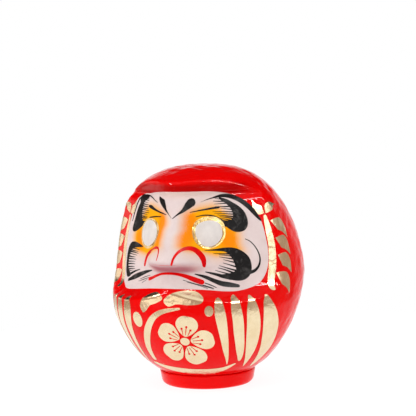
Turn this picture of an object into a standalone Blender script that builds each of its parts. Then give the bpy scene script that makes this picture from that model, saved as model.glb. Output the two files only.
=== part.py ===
"""Daruma doll, 240 mm tall.

A roly-poly papier-mache figure made of two moulded shells that are joined round the sides, a fired
clay weight that is also the foot, and gold foil applied over the lacquer.

Units are metres, +Z is up and the doll faces -Y. The origin lies on the floor, halfway between the
tip of the nose and the back; the vertical axis of body and foot stands BODY_OFFSET behind it. Left
and right are the doll's own, so left is +X. A place on the body is given as an angle round the axis,
zero at the front and positive towards +X, and a height. The foil is drawn on the body in degrees and
millimetres, and its widths are millimetres.
"""

import math

import bmesh
import bpy
import numpy as np
from mathutils import Vector

# Body of the doll
HEIGHT = 0.240
BODY_RADIUS = 0.1088
WIDEST_HEIGHT = 0.121
BODY_LOW_POINT = 0.005
BODY_OFFSET = 0.0014
CROWN_POWERS = (1.74, 2.73)
BOWL_POWERS = (1.55, 2.58)
SIDE_TRIM = 0.0093
SIDE_TRIM_HEIGHTS = (0.070, 0.135, 0.140, 0.215)
SIDE_TRIM_ANGLES = (math.radians(72), math.radians(112))
SHELL_THICKNESS = 0.0026
SHELL_OPENING_HEIGHT = 0.0175

# Face panel, cut into the front of the body
FACE_SLOPE = 0.85
FACE_ROUNDING = 0.014
FACE_EDGE_BLEND = 0.003
FACE_HALF_ANGLE = math.radians(120)
FACE_STATIONS = (  # height, distance forward of the axis
    (0.060, 0.195),
    (0.096, 0.155),
    (0.102, 0.135),
    (0.108, 0.121),
    (0.114, 0.112),
    (0.122, 0.108),
    (0.138, 0.1045),
    (0.160, 0.1005),
    (0.181, 0.096),
    (0.195, 0.0935),
    (0.205, 0.0905),
    (0.2115, 0.0850),
    (0.2150, 0.0880),
    (0.226, 0.0875),
    (0.245, 0.087),
)
HOOD_BULGE = 0.012
HOOD_HEIGHTS = (0.200, 0.218, 0.222, 0.240)
HOOD_HALF_ANGLE = math.radians(80)
NOSE_TOP = 0.205
NOSE_TIP = 0.143
NOSE_BASE = 0.1335
NOSE_HEIGHT = 0.021
NOSE_HALF_WIDTHS = (0.012, 0.041)
NOSTRIL_HEIGHT = 0.003
NOSTRIL_PLACE = (0.024, 0.146)
NOSTRIL_SIZE = 0.009
EYE_PLACE = (0.0336, 0.171)
EYE_SIZE = (0.0115, 0.0138)
EYE_BULGE = 0.0025
LIP_HEIGHT = 0.126
LIP_SIZE = (0.026, 0.012)
LIP_BULGE = 0.003

# Foot
FOOT_RADIUS = 0.053
FOOT_BASE_RADIUS = 0.050
FOOT_HEIGHT = 0.0155
FOOT_EDGE_RADIUS = 0.004
SPIGOT_RADIUS = 0.0465
SPIGOT_TOP = 0.030
SPIGOT_EDGE = 0.006
FOOT_SEGMENTS = 56

# Joint strip, behind the seam between the two shells
SEAM_GAP = 0.0003
STRIP_WIDTH = 0.016
STRIP_THICKNESS = 0.0008
STRIP_CLEARANCE = 0.0013
STRIP_FOOT_CLEARANCE = 0.014

# Gold foil
FOIL_THICKNESS = 0.0004
FOIL_LIFT = 0.0010
RIM_SIZE = (0.0117, 0.0140)
RIM_WIDTH = 0.0027
RIM_LIFT = 0.0016
POINTED_END = 0.0005
MM = 0.001
MM_PER_DEGREE = 1.6
STRIPES_LEFT = (  # height, then the angles of the two sides, from the top down
    ((106.0, 28.6, 30.2), (103.0, 27.2, 31.4), (96.0, 26.8, 32.6), (86.0, 27.3, 33.8), (70.0, 29.5, 35.2),
     (50.0, 33.0, 37.2), (38.0, 36.4, 38.6), (32.0, 38.3, 38.9)),
    ((107.6, 39.2, 40.8), (104.0, 37.2, 41.8), (96.0, 36.6, 42.8), (84.0, 37.6, 44.4), (68.0, 39.2, 46.2),
     (50.0, 42.6, 49.0), (41.0, 45.4, 50.2), (35.0, 47.8, 50.0)),
    ((106.2, 49.4, 50.8), (102.0, 47.6, 52.0), (94.0, 46.7, 54.2), (82.0, 46.9, 56.2), (64.0, 48.3, 58.4),
     (48.0, 50.8, 59.6), (36.0, 53.8, 59.0), (27.0, 56.6, 57.6)),
    ((105.6, 59.6, 61.4), (100.0, 58.2, 64.4), (90.0, 58.4, 68.6), (76.0, 59.2, 72.8), (60.0, 61.6, 76.4),
     (46.0, 64.4, 77.6), (34.0, 66.4, 74.6), (25.5, 67.0, 69.8)),
)
STRIPES_RIGHT = (
    ((105.0, -34.2, -32.4), (102.0, -35.6, -30.4), (94.0, -37.2, -29.8), (84.0, -38.2, -30.6),
     (68.0, -39.2, -33.2), (50.0, -40.4, -36.2), (38.0, -40.8, -38.6), (31.0, -40.9, -40.2)),
    ((104.4, -43.4, -41.6), (100.0, -45.4, -39.8), (90.0, -47.0, -39.8), (76.0, -48.6, -41.2),
     (58.0, -50.2, -44.0), (44.0, -50.6, -46.8), (34.0, -50.4, -49.0)),
    ((104.0, -51.8, -50.0), (98.0, -54.6, -48.6), (86.0, -57.0, -49.6), (68.0, -59.2, -51.6),
     (50.0, -60.0, -54.4), (36.0, -59.4, -57.0), (28.0, -58.6, -57.8)),
    ((103.6, -61.8, -60.0), (98.0, -65.4, -58.6), (86.0, -69.6, -59.2), (70.0, -74.0, -61.2),
     (54.0, -76.6, -63.6), (40.0, -76.0, -66.4), (27.0, -70.4, -68.0)),
)
BELLY_SLOPE = 1.09
BLOSSOM_CENTRE = (7.5, 60.5)
BLOSSOM_TILT = math.radians(12)
BLOSSOM_HEART = 5.0
PETAL_MIDDLE = 19.0
PETAL_SHAPE = (  # distance from the heart, distance from the petal's own line
    (6.4, 0.0), (8.6, 4.2), (13.2, 8.6), (19.4, 11.7), (25.8, 10.7), (30.2, 6.2), (30.9, 0.0), (30.2, -6.2),
    (25.8, -10.7), (19.4, -11.7), (13.2, -8.6), (8.6, -4.2),
)
PLUM_LEAVES = (  # middle, then the outline
    ((-14.0, 103.5), (
        (-19.0, 91.0), (-20.6, 99.0), (-17.0, 108.0), (-10.0, 112.4), (-5.6, 110.6), (-4.4, 106.0),
        (-8.4, 101.6), (-13.0, 98.6), (-16.4, 92.4),
    )),
    ((9.0, 106.6), (
        (-3.4, 104.4), (1.0, 111.4), (8.0, 114.4), (15.6, 113.0), (20.4, 107.0), (18.6, 101.6), (12.0, 100.2),
        (5.0, 101.2), (-0.4, 98.6),
    )),
)
PLUM_BUDS = (((-24.4, 82.0), (7.0, 8.4)), ((23.6, 93.6), (4.6, 5.6)))
PLUM_BRANCH = (  # angle, height, width
    (-26.5, 36.5, 5.4), (-24.6, 50.0, 7.4), (-19.8, 66.0, 8.4), (-14.4, 80.0, 7.4), (-9.4, 88.6, 6.0),
    (-3.0, 93.6, 4.6), (6.0, 96.4, 2.4),
)
PLUM_BOUGH = (
    (-31.0, 30.4, 4.0), (-20.0, 26.6, 8.0), (-6.0, 24.2, 10.4), (10.0, 22.8, 11.2), (24.0, 22.8, 11.4),
    (35.0, 24.8, 8.0), (41.0, 27.6, 5.4), (46.0, 31.0, 2.4),
)
BAMBOO_STEM = (
    (72.0, 186.0, 3.4), (72.6, 174.0, 6.4), (73.0, 154.0, 7.6), (71.4, 132.0, 8.2), (67.6, 111.0, 6.0),
)
BAMBOO_LEAVES = (  # stalk, tip, width, how far the leaf bows upwards
    ((71.4, 189.6), (64.8, 203.0), 10.5, 2.2),
    ((72.8, 189.5), (83.0, 197.4), 9.5, 4.0),
    ((75.4, 181.0), (87.0, 162.0), 14.0, 4.0),
    ((76.4, 162.5), (87.0, 144.0), 14.5, 3.6),
    ((76.2, 144.5), (85.5, 125.0), 15.5, 3.4),
    ((73.6, 126.0), (82.0, 104.0), 15.5, 3.2),
)
LEAF_FULLNESS = ((0.0, 0.10), (0.12, 0.55), (0.34, 1.0), (0.6, 0.72), (0.84, 0.30), (1.0, 0.04))
BAMBOO_LEAD = {"left": 0.0, "right": 5.5}

# Solving and sampling
NEAREST_RADIUS = 0.005
FARTHEST_RADIUS = 0.260
HALVINGS = 34
STEP = 0.0005
CUTTER_REACH = 0.30

COLLECTION = "daruma_doll"
RED = (0.62, 0.004, 0.004)
GOLD = (0.83, 0.62, 0.33)
CLAY = (0.55, 0.03, 0.02)
PAPER = (0.72, 0.66, 0.55)


def smooth_step(value, low, high):
    t = np.clip((value - low) / (high - low), 0.0, 1.0)
    return t * t * (3.0 - 2.0 * t)


def smooth_curve(value, stations):
    """A monotone cubic through the stations."""
    places = np.array([station[0] for station in stations])
    values = np.array([station[1] for station in stations])
    value = np.clip(value, places[0], places[-1])
    slope = np.diff(values) / np.diff(places)
    product = slope[:-1] * slope[1:]
    total = np.where(np.abs(slope[:-1] + slope[1:]) > 1e-12, slope[:-1] + slope[1:], 1.0)
    inner = np.where(product > 0.0, 2.0 * product / total, 0.0)
    tangent = np.concatenate([slope[:1], inner, slope[-1:]])
    index = np.clip(np.searchsorted(places, value) - 1, 0, len(places) - 2)
    span = places[index + 1] - places[index]
    t = (value - places[index]) / span
    start = (2.0 * t**3 - 3.0 * t**2 + 1.0) * values[index]
    start_slope = (t**3 - 2.0 * t**2 + t) * span * tangent[index]
    end = (3.0 * t**2 - 2.0 * t**3) * values[index + 1]
    end_slope = (t**3 - t**2) * span * tangent[index + 1]
    return start + start_slope + end + end_slope


def body_radius(angle, height):
    """A superellipse of revolution, drawn in a little beside the face."""
    rise = np.clip((height - WIDEST_HEIGHT) / (HEIGHT - WIDEST_HEIGHT), 0.0, 1.0)
    fall = np.clip((WIDEST_HEIGHT - height) / (WIDEST_HEIGHT - BODY_LOW_POINT), 0.0, 1.0)
    crown = (1.0 - rise ** CROWN_POWERS[0]) ** (1.0 / CROWN_POWERS[1])
    bowl = (1.0 - fall ** BOWL_POWERS[0]) ** (1.0 / BOWL_POWERS[1])
    radius = BODY_RADIUS * np.where(height >= WIDEST_HEIGHT, crown, bowl)
    low, low_full, high_full, high = SIDE_TRIM_HEIGHTS
    amount = smooth_step(height, low, low_full) * (1.0 - smooth_step(height, high_full, high))
    front = 1.0 - smooth_step(np.abs(angle), *SIDE_TRIM_ANGLES)
    return radius - SIDE_TRIM * amount * front + hood_bulge(angle, height)


def hood_bulge(angle, height):
    """The hood juts forward over the forehead."""
    low, low_full, high_full, high = HOOD_HEIGHTS
    amount = smooth_step(height, low, low_full) * (1.0 - smooth_step(height, high_full, high))
    turn = np.clip(np.abs(angle) / HOOD_HALF_ANGLE, 0.0, 1.0)
    return HOOD_BULGE * amount * np.cos(0.5 * math.pi * turn) ** 2


def nose_relief(side, height):
    above = np.clip((NOSE_TOP - height) / (NOSE_TOP - NOSE_TIP), 0.0, 1.0) ** 1.2
    below = smooth_step(height, NOSE_BASE, NOSE_TIP)
    depth = NOSE_HEIGHT * np.where(height > NOSE_TIP, above, below)
    spread = np.clip((NOSE_TOP - height) / (NOSE_TOP - NOSE_BASE), 0.0, 1.0) ** 1.5
    half_width = NOSE_HALF_WIDTHS[0] + (NOSE_HALF_WIDTHS[1] - NOSE_HALF_WIDTHS[0]) * spread
    across = np.clip(np.abs(side) / half_width, 0.0, 1.0)
    offset = ((np.abs(side) - NOSTRIL_PLACE[0]) ** 2 + (height - NOSTRIL_PLACE[1]) ** 2) / NOSTRIL_SIZE**2
    return depth * (1.0 - across**3) ** 1.2 + NOSTRIL_HEIGHT * np.exp(-offset) * below


def face_relief(side, height):
    """How far nose, eyes and lips stand out from the face panel."""
    eye = ((np.abs(side) - EYE_PLACE[0]) / EYE_SIZE[0]) ** 2
    eye = eye + ((height - EYE_PLACE[1]) / EYE_SIZE[1]) ** 2
    lip = (side / LIP_SIZE[0]) ** 2 + ((height - LIP_HEIGHT) / LIP_SIZE[1]) ** 2
    bulges = EYE_BULGE * np.clip(1.0 - eye, 0.0, 1.0) + LIP_BULGE * np.exp(-lip)
    return nose_relief(side, height) + bulges


def panel_depth(side, height):
    """How far forward of the axis the bare face panel lies."""
    return smooth_curve(height, FACE_STATIONS) - FACE_SLOPE * np.sqrt(side**2 + FACE_ROUNDING**2)


def panel_radius(angle, height):
    """Where a horizontal line from the axis meets the face panel, found by halving."""
    near = np.full(angle.shape, NEAREST_RADIUS)
    far = np.full(angle.shape, FARTHEST_RADIUS)
    for _ in range(HALVINGS):
        middle = 0.5 * (near + far)
        outside = middle * np.cos(angle) > panel_depth(middle * np.sin(angle), height)
        far = np.where(outside, middle, far)
        near = np.where(outside, near, middle)
    return np.where(np.abs(angle) < FACE_HALF_ANGLE, near, FARTHEST_RADIUS)


def surface_radius(angle, height):
    """The smaller of body and face panel, with a soft edge between them."""
    body = body_radius(angle, height)
    face = panel_radius(angle, height)
    mix = np.clip(0.5 + 0.5 * (face - body) / FACE_EDGE_BLEND, 0.0, 1.0)
    return face * (1.0 - mix) + body * mix - FACE_EDGE_BLEND * mix * (1.0 - mix)


def surface_points(angle, height, lift=0.0):
    """Points on the lacquered surface, raised along its normal by lift."""
    angle = np.asarray(angle, float)
    height = np.asarray(height, float)

    def at(turn, rise):
        radius = surface_radius(turn, rise)
        side = radius * np.sin(turn)
        relief = np.where(np.abs(turn) < 0.5 * math.pi, face_relief(side, rise), 0.0)
        return np.stack([side, -radius * np.cos(turn) - relief, rise], axis=-1)

    place = at(angle, height)
    if lift == 0.0:
        return place
    turn_step = STEP / BODY_RADIUS
    east = at(angle + turn_step, height) - at(angle - turn_step, height)
    north = at(angle, np.minimum(height + STEP, HEIGHT)) - at(angle, height - STEP)
    normal = np.cross(east, north)
    return place + lift * normal / np.linalg.norm(normal, axis=-1, keepdims=True)


def chart_scale(angle, height):
    """Metres of surface per radian of angle and per metre of height."""
    east = surface_points(angle + STEP, height) - surface_points(angle - STEP, height)
    north = surface_points(angle, height + STEP) - surface_points(angle, height - STEP)
    return np.linalg.norm(east, axis=-1) / (2.0 * STEP), np.linalg.norm(north, axis=-1) / (2.0 * STEP)


def closed_curve(corners, count):
    """Points along a smooth closed curve through the corners, the last one back on the first."""
    corners = np.array(corners, float)
    places = np.linspace(0.0, len(corners), count)
    start = np.floor(places).astype(int)
    t = (places - start)[:, None]
    before, first, second, after = (corners[(start + shift) % len(corners)] for shift in (-1, 0, 1, 2))
    bend = 2.0 * before - 5.0 * first + 4.0 * second - after
    twist = 3.0 * first - before - 3.0 * second + after
    return first + 0.5 * t * (second - before + bend * t + twist * t**2)


def clear_scene():
    for item in list(bpy.data.objects):
        bpy.data.objects.remove(item, do_unlink=True)


def new_collection(name):
    collection = bpy.data.collections.new(name)
    bpy.context.scene.collection.children.link(collection)
    return collection


def new_material(name, colour, roughness, metallic=0.0, coat=0.0):
    material = bpy.data.materials.new(name)
    material.use_nodes = True
    shader = material.node_tree.nodes["Principled BSDF"]
    shader.inputs["Base Color"].default_value = (*colour, 1.0)
    shader.inputs["Roughness"].default_value = roughness
    shader.inputs["Metallic"].default_value = metallic
    shader.inputs["Coat Weight"].default_value = coat
    return material


def object_from(mesh_builder, name, collection, material=None, parent=None):
    """Turns a bmesh into a named object in its collection."""
    mesh = bpy.data.meshes.new(name)
    mesh_builder.to_mesh(mesh)
    mesh_builder.free()
    mesh.shade_smooth()
    mesh.set_sharp_from_angle(angle=math.radians(40))
    item = bpy.data.objects.new(name, mesh)
    if material:
        mesh.materials.append(material)
    collection.objects.link(item)
    item.parent = parent
    return item


def face_outwards(builder):
    """Turns an open sheet so that its faces look away from the axis."""
    builder.normal_update()
    middle = Vector((0.0, 0.0, WIDEST_HEIGHT))
    outward = sum(face.normal.dot(face.calc_center_median() - middle) for face in builder.faces)
    if outward < 0.0:
        bmesh.ops.reverse_faces(builder, faces=builder.faces)


def sheet(columns, rows):
    """A flat grid with across and along values from 0 to 1 for each vertex."""
    builder = bmesh.new()
    bmesh.ops.create_grid(builder, x_segments=columns, y_segments=rows, size=0.5)
    across = np.array([vertex.co.x for vertex in builder.verts]) + 0.5
    along = np.array([vertex.co.y for vertex in builder.verts]) + 0.5
    return builder, across, along


def place_vertices(builder, points, weld=False):
    for vertex, point in zip(builder.verts, points):
        vertex.co = point
    if weld:
        bmesh.ops.remove_doubles(builder, verts=builder.verts, dist=1e-5)
    face_outwards(builder)


def dome(name, front_columns, back_columns, heights):
    """The open shell surface, finer across the front than across the back."""
    front = np.linspace(-0.5 * math.pi, 0.5 * math.pi, front_columns + 1)
    back = np.linspace(0.5 * math.pi, 1.5 * math.pi, back_columns + 1)[1:]
    angles = np.concatenate([front, back])
    builder, across, along = sheet(len(angles) - 1, len(heights) - 1)
    turn = np.interp(across * (len(angles) - 1), np.arange(len(angles)), angles)
    rise = np.interp(along * (len(heights) - 1), np.arange(len(heights)), heights)
    wrapped = np.where(turn > math.pi, turn - 2.0 * math.pi, turn)
    place_vertices(builder, surface_points(wrapped, rise), weld=True)
    return builder


def add_solidify(item, thickness, offset):
    solidify = item.modifiers.new("thickness", "SOLIDIFY")
    solidify.thickness = thickness
    solidify.offset = offset
    solidify.use_even_offset = True
    solidify.use_quality_normals = True


def add_cut(item, cutter, operation):
    cut = item.modifiers.new("cut", "BOOLEAN")
    cut.operation = operation
    cut.solver = "EXACT"
    cut.object = cutter


def block(name, centre, sides, collection, parent):
    """A rectangular cutter."""
    builder = bmesh.new()
    bmesh.ops.create_cube(builder, size=1.0)
    bmesh.ops.scale(builder, vec=sides, verts=builder.verts)
    cutter = object_from(builder, name, collection, parent=parent)
    cutter.location = centre
    cutter.hide_render = True
    cutter.display_type = "WIRE"
    return cutter


def shell_heights(bowl_rows, chin_rows, face_rows, brow_rows, crown_rows):
    """Ring heights, closest together where the chest and the hood turn over."""
    crown_base = 0.217
    crown_angles = np.linspace(0.0, 0.5 * math.pi, crown_rows + 1)[1:]
    return np.concatenate([
        np.linspace(SHELL_OPENING_HEIGHT, 0.100, bowl_rows + 1),
        np.linspace(0.100, 0.124, chin_rows + 1)[1:],
        np.linspace(0.124, 0.204, face_rows + 1)[1:],
        np.linspace(0.204, crown_base, brow_rows + 1)[1:],
        crown_base + (HEIGHT - crown_base) * np.sin(crown_angles),
    ])


def make_shells(parts, cutters, parent):
    """Front and back shells, each the same dome cut off at the seam."""
    lacquer = new_material("red_lacquer_on_paper", RED, 0.32, coat=0.6)
    depth = 0.5 * CUTTER_REACH
    for name, side, front_columns, back_columns, heights in (
        ("shell_front", 1.0, 36, 4, shell_heights(8, 6, 14, 4, 5)),
        ("shell_back", -1.0, 4, 18, shell_heights(7, 2, 7, 1, 6)),
    ):
        shell = object_from(dome(name, front_columns, back_columns, heights), name, parts, lacquer, parent)
        add_solidify(shell, SHELL_THICKNESS, -1.0)
        centre = (0.0, side * 0.5 * (depth - SEAM_GAP), 0.5 * HEIGHT)
        cutter = block(name + "_trim", centre, (CUTTER_REACH, depth, CUTTER_REACH), cutters, parent)
        add_cut(shell, cutter, "DIFFERENCE")


def make_seam_strip(parts, cutters, parent):
    """The paper strip glued behind the seam, running up one side, over the crown and down the other."""
    paper = new_material("joint_paper", PAPER, 0.9)
    heights = shell_heights(7, 2, 8, 2, 7)
    strip = object_from(dome("seam_strip", 20, 20, heights), "seam_strip", parts, paper, parent)
    inward = strip.modifiers.new("inward", "DISPLACE")
    inward.mid_level = 0.0
    inward.strength = -(SHELL_THICKNESS + STRIP_CLEARANCE)
    add_solidify(strip, STRIP_THICKNESS, -1.0)
    centre = (0.0, 0.0, 0.5 * HEIGHT + SPIGOT_TOP + STRIP_FOOT_CLEARANCE)
    band = block("seam_strip_band", centre, (CUTTER_REACH, STRIP_WIDTH, HEIGHT), cutters, parent)
    add_cut(strip, band, "INTERSECT")


def make_base_weight(parts, parent):
    """The clay foot, with a spigot that seats inside the opening of the shells."""
    clay = new_material("painted_clay", CLAY, 0.35, coat=0.5)
    rounding = np.linspace(0.0, 0.5 * math.pi, 4)
    profile = [
        (0.0, SPIGOT_TOP),
        (SPIGOT_RADIUS - SPIGOT_EDGE, SPIGOT_TOP),
        (SPIGOT_RADIUS, SPIGOT_TOP - SPIGOT_EDGE),
        (SPIGOT_RADIUS, FOOT_HEIGHT + 0.0002),
        (FOOT_RADIUS - 0.0006, FOOT_HEIGHT + 0.0002),
        (FOOT_RADIUS, FOOT_HEIGHT - 0.0006),
    ]
    for turn in rounding:
        out = FOOT_BASE_RADIUS - FOOT_EDGE_RADIUS * (1.0 - math.cos(turn))
        profile.append((out, FOOT_EDGE_RADIUS * (1.0 - math.sin(turn))))
    profile.append((0.0, 0.0))
    builder = bmesh.new()
    corners = [builder.verts.new((radius, 0.0, height)) for radius, height in profile]
    for first, second in zip(corners, corners[1:]):
        builder.edges.new((first, second))
    foot = object_from(builder, "base_weight", parts, clay, parent)
    turned = foot.modifiers.new("turned", "SCREW")
    turned.steps = FOOT_SEGMENTS
    turned.render_steps = FOOT_SEGMENTS
    turned.use_merge_vertices = True
    turned.merge_threshold = 1e-5
    turned.use_smooth_shade = True


class FoilMaker:
    """Cuts pieces of gold foil and lays them on the lacquer."""

    def __init__(self, parts, parent):
        self.parts = parts
        self.parent = parent
        self.material = new_material("gold_foil", GOLD, 0.28, metallic=1.0)

    def lay(self, builder, angle, height, name, weld=False, lift=FOIL_LIFT):
        place_vertices(builder, surface_points(angle, height, lift), weld)
        foil = object_from(builder, name, self.parts, self.material, self.parent)
        add_solidify(foil, FOIL_THICKNESS, 1.0)

    def stroke(self, name, stations, rows, columns=2):
        """A brush stroke through (angle, height, width) stations."""
        builder, across, along = sheet(columns, rows)
        stations = np.array(stations, float)
        moves = np.diff(stations[:, :2], axis=0) * (MM_PER_DEGREE, 1.0)
        knots = np.concatenate([[0.0], np.cumsum(np.hypot(moves[:, 0], moves[:, 1]))])
        knots = knots / knots[-1]
        turns = tuple(zip(knots, np.radians(stations[:, 0])))
        rises = tuple(zip(knots, stations[:, 1] * MM))
        widths = tuple(zip(knots, stations[:, 2] * MM))
        step = 0.01
        angle = smooth_curve(along, turns)
        height = smooth_curve(along, rises)
        east_scale, north_scale = chart_scale(angle, height)
        east = east_scale * (smooth_curve(along + step, turns) - smooth_curve(along - step, turns))
        north = north_scale * (smooth_curve(along + step, rises) - smooth_curve(along - step, rises))
        length = np.hypot(east, north)
        half = np.maximum(0.5 * smooth_curve(along, widths), POINTED_END)
        aside = (2.0 * across - 1.0) * half
        angle = angle - aside * north / length / east_scale
        height = height + aside * east / length / north_scale
        self.lay(builder, angle, height, name)

    def banner(self, name, stations, rows=16, columns=2):
        """A long tapering piece between two sides, closest sampled at its ends."""
        builder, across, along = sheet(columns, rows)
        top = stations[0][0]
        foot = stations[-1][0]
        height = foot + (top - foot) * (0.5 - 0.5 * np.cos(math.pi * along))
        rising = sorted(stations)
        first = smooth_curve(height, [(station[0], station[1]) for station in rising])
        second = smooth_curve(height, [(station[0], station[2]) for station in rising])
        self.lay(builder, np.radians(first + (second - first) * across), height * MM, name)

    def patch(self, name, middle, outline, around, rings=2):
        """A piece with a smooth closed outline of (angle, height) corners."""
        builder, across, along = sheet(around, rings)
        edge = closed_curve(outline, around + 1)[np.rint(across * around).astype(int)]
        angle = middle[0] + (edge[:, 0] - middle[0]) * along
        height = middle[1] + (edge[:, 1] - middle[1]) * along
        self.lay(builder, np.radians(angle), height * MM, name, weld=True)

    def oval(self, name, centre, radii, around=20, rings=2):
        """An oval dab centred on (angle, height)."""
        turns = np.linspace(0.0, 2.0 * math.pi, 12, endpoint=False)
        scales = chart_scale(np.radians([centre[0]]), np.array([centre[1] * MM]))
        angles = centre[0] + np.degrees(radii[0] * MM * np.cos(turns) / scales[0])
        heights = centre[1] + radii[1] * np.sin(turns) / scales[1]
        self.patch(name, centre, list(zip(angles, heights)), around, rings)

    def ring(self, name, side):
        """The oval rim round one eye."""
        builder, across, along = sheet(36, 1)
        direction = 2.0 * math.pi * across
        out = RIM_WIDTH * along
        east = EYE_PLACE[0] + (RIM_SIZE[0] + out) * np.cos(direction)
        height = EYE_PLACE[1] + (RIM_SIZE[1] + out) * np.sin(direction)
        depth = panel_depth(east, height)
        self.lay(builder, side * np.arctan2(east, depth), height, name, weld=True, lift=RIM_LIFT)


def on_belly(shape, centre, turn):
    """A shape in millimetres, turned and laid on the belly as (angle, height) corners."""
    shape = np.array(shape, float)
    east = shape[:, 0] * math.sin(turn) + shape[:, 1] * math.cos(turn)
    north = shape[:, 0] * math.cos(turn) - shape[:, 1] * math.sin(turn)
    height = centre[1] + north / BELLY_SLOPE
    scale = chart_scale(np.radians(np.full(len(shape), centre[0])), height * MM)[0]
    return np.stack([centre[0] + np.degrees(east * MM / scale), height], axis=1)


def leaf_stations(stalk, tip, width, bow):
    """A bamboo leaf: narrow at the stalk, fullest at a third, running out to a fine tip."""
    stalk = np.array(stalk)
    along = np.array(tip) - stalk
    aside = np.array((-along[1] / MM_PER_DEGREE, along[0] * MM_PER_DEGREE))
    aside = aside / np.hypot(aside[0] * MM_PER_DEGREE, aside[1])
    stations = []
    for share, fullness in LEAF_FULLNESS:
        place = stalk + along * share + aside * bow * math.sin(math.pi * share)
        stations.append((*place, width * fullness))
    return stations


def make_foils(parts, parent):
    foils = FoilMaker(parts, parent)
    for side_name, side, stripes in (("left", 1.0, STRIPES_LEFT), ("right", -1.0, STRIPES_RIGHT)):
        foils.ring("eye_rim_" + side_name, side)
        for number, stations in enumerate(stripes, 1):
            foils.banner(f"stripe_{side_name}_{number}", stations)
        lead = BAMBOO_LEAD[side_name]

        def placed(stations):
            return [(side * (angle - lead), height, width) for angle, height, width in stations]

        foils.stroke(f"bamboo_stem_{side_name}", placed(BAMBOO_STEM), rows=14)
        for number, leaf in enumerate(BAMBOO_LEAVES, 1):
            foils.stroke(f"bamboo_leaf_{side_name}_{number}", placed(leaf_stations(*leaf)), rows=10)

    foils.oval("blossom_heart", BLOSSOM_CENTRE, (BLOSSOM_HEART, BLOSSOM_HEART), around=16, rings=1)
    for number in range(5):
        turn = BLOSSOM_TILT + number * 2.0 * math.pi / 5.0
        middle = on_belly(((PETAL_MIDDLE, 0.0),), BLOSSOM_CENTRE, turn)[0]
        outline = on_belly(PETAL_SHAPE, BLOSSOM_CENTRE, turn)
        foils.patch(f"blossom_petal_{number + 1}", middle, outline, around=28)
    for number, (centre, radii) in enumerate(PLUM_BUDS, 1):
        foils.oval(f"plum_bud_{number}", centre, radii)
    for number, (middle, outline) in enumerate(PLUM_LEAVES, 1):
        foils.patch(f"plum_leaf_{number}", middle, outline, around=30)
    foils.stroke("plum_branch", PLUM_BRANCH, rows=22)
    foils.stroke("plum_bough", PLUM_BOUGH, rows=26)


def main():
    clear_scene()
    parts = new_collection(COLLECTION)
    cutters = new_collection("cutters")
    root = bpy.data.objects.new("daruma_origin", None)
    root.location.y = BODY_OFFSET
    parts.objects.link(root)
    make_shells(parts, cutters, root)
    make_seam_strip(parts, cutters, root)
    make_base_weight(parts, root)
    make_foils(parts, root)


main()
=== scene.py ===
"""Looks of the daruma doll: crinkled red lacquer over papier-mache, a hand-painted face and gold foil.

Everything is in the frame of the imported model: metres, +Z up, the doll faces -Y. A place on the body
is an angle in degrees round its axis, zero at the front and positive towards +X, and a height in
millimetres. Left and right are the doll's own, so left is +X.
"""

import math

import bmesh
import bpy
import numpy as np
from mathutils import Euler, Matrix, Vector
from mathutils.geometry import delaunay_2d_cdt


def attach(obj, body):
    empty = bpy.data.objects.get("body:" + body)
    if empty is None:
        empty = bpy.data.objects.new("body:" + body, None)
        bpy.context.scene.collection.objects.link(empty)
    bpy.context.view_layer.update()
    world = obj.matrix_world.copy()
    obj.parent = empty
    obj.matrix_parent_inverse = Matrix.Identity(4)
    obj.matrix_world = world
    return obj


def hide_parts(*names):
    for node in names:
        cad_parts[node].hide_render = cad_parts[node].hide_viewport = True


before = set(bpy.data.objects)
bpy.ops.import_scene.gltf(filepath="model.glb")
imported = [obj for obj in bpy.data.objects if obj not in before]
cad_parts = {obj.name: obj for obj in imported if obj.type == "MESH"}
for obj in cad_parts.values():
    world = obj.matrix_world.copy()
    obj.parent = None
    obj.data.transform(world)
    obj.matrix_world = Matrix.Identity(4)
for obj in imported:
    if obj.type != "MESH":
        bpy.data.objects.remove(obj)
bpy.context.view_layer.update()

MM = 0.001

# Body of the doll
HEIGHT = 0.240
BODY_RADIUS = 0.1088
WIDEST_HEIGHT = 0.121
BODY_LOW_POINT = 0.005
BODY_OFFSET = 0.0014
CROWN_POWERS = (1.74, 2.73)
BOWL_POWERS = (1.55, 2.58)
SIDE_TRIM = 0.0093
SIDE_TRIM_HEIGHTS = ((0.070, 0.135), (0.140, 0.215))
SIDE_TRIM_ANGLES = (math.radians(72), math.radians(112))
SHELL_OPENING_HEIGHT = 0.0175

# Face panel, cut into the front of the body
FACE_SLOPE = 0.85
FACE_ROUNDING = 0.014
FACE_EDGE_BLEND = 0.003
FACE_HALF_ANGLE = math.radians(120)
FACE_STATIONS = (  # height, distance forward of the axis
    (0.060, 0.195),
    (0.096, 0.155),
    (0.102, 0.135),
    (0.108, 0.121),
    (0.114, 0.112),
    (0.122, 0.108),
    (0.138, 0.1045),
    (0.160, 0.1005),
    (0.181, 0.096),
    (0.195, 0.0935),
    (0.205, 0.0905),
    (0.2115, 0.0850),
    (0.2150, 0.0880),
    (0.226, 0.0875),
    (0.245, 0.087),
)
HOOD_BULGE = 0.012
HOOD_HEIGHTS = ((0.200, 0.218), (0.222, 0.240))
HOOD_HALF_ANGLE = math.radians(80)
NOSE_TOP = 0.205
NOSE_TIP = 0.143
NOSE_BASE = 0.1335
NOSE_HEIGHT = 0.021
NOSE_HALF_WIDTHS = (0.012, 0.041)
NOSE_RIDGE_POWER = 1.2
NOSE_SPREAD_POWER = 1.5
NOSE_SIDE_POWER = 1.2
NOSTRIL_HEIGHT = 0.003
NOSTRIL_PLACE = (0.024, 0.146)
NOSTRIL_SIZE = 0.009
EYE_PLACE = (0.0336, 0.171)
EYE_SIZE = (0.0115, 0.0138)
EYE_BULGE = 0.0025
LIP_HEIGHT = 0.126
LIP_SIZE = (0.026, 0.012)
LIP_BULGE = 0.003
PANEL_REACH = (0.005, 0.260)
PANEL_HALVINGS = 34
SURFACE_STEP = 0.0005
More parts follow.
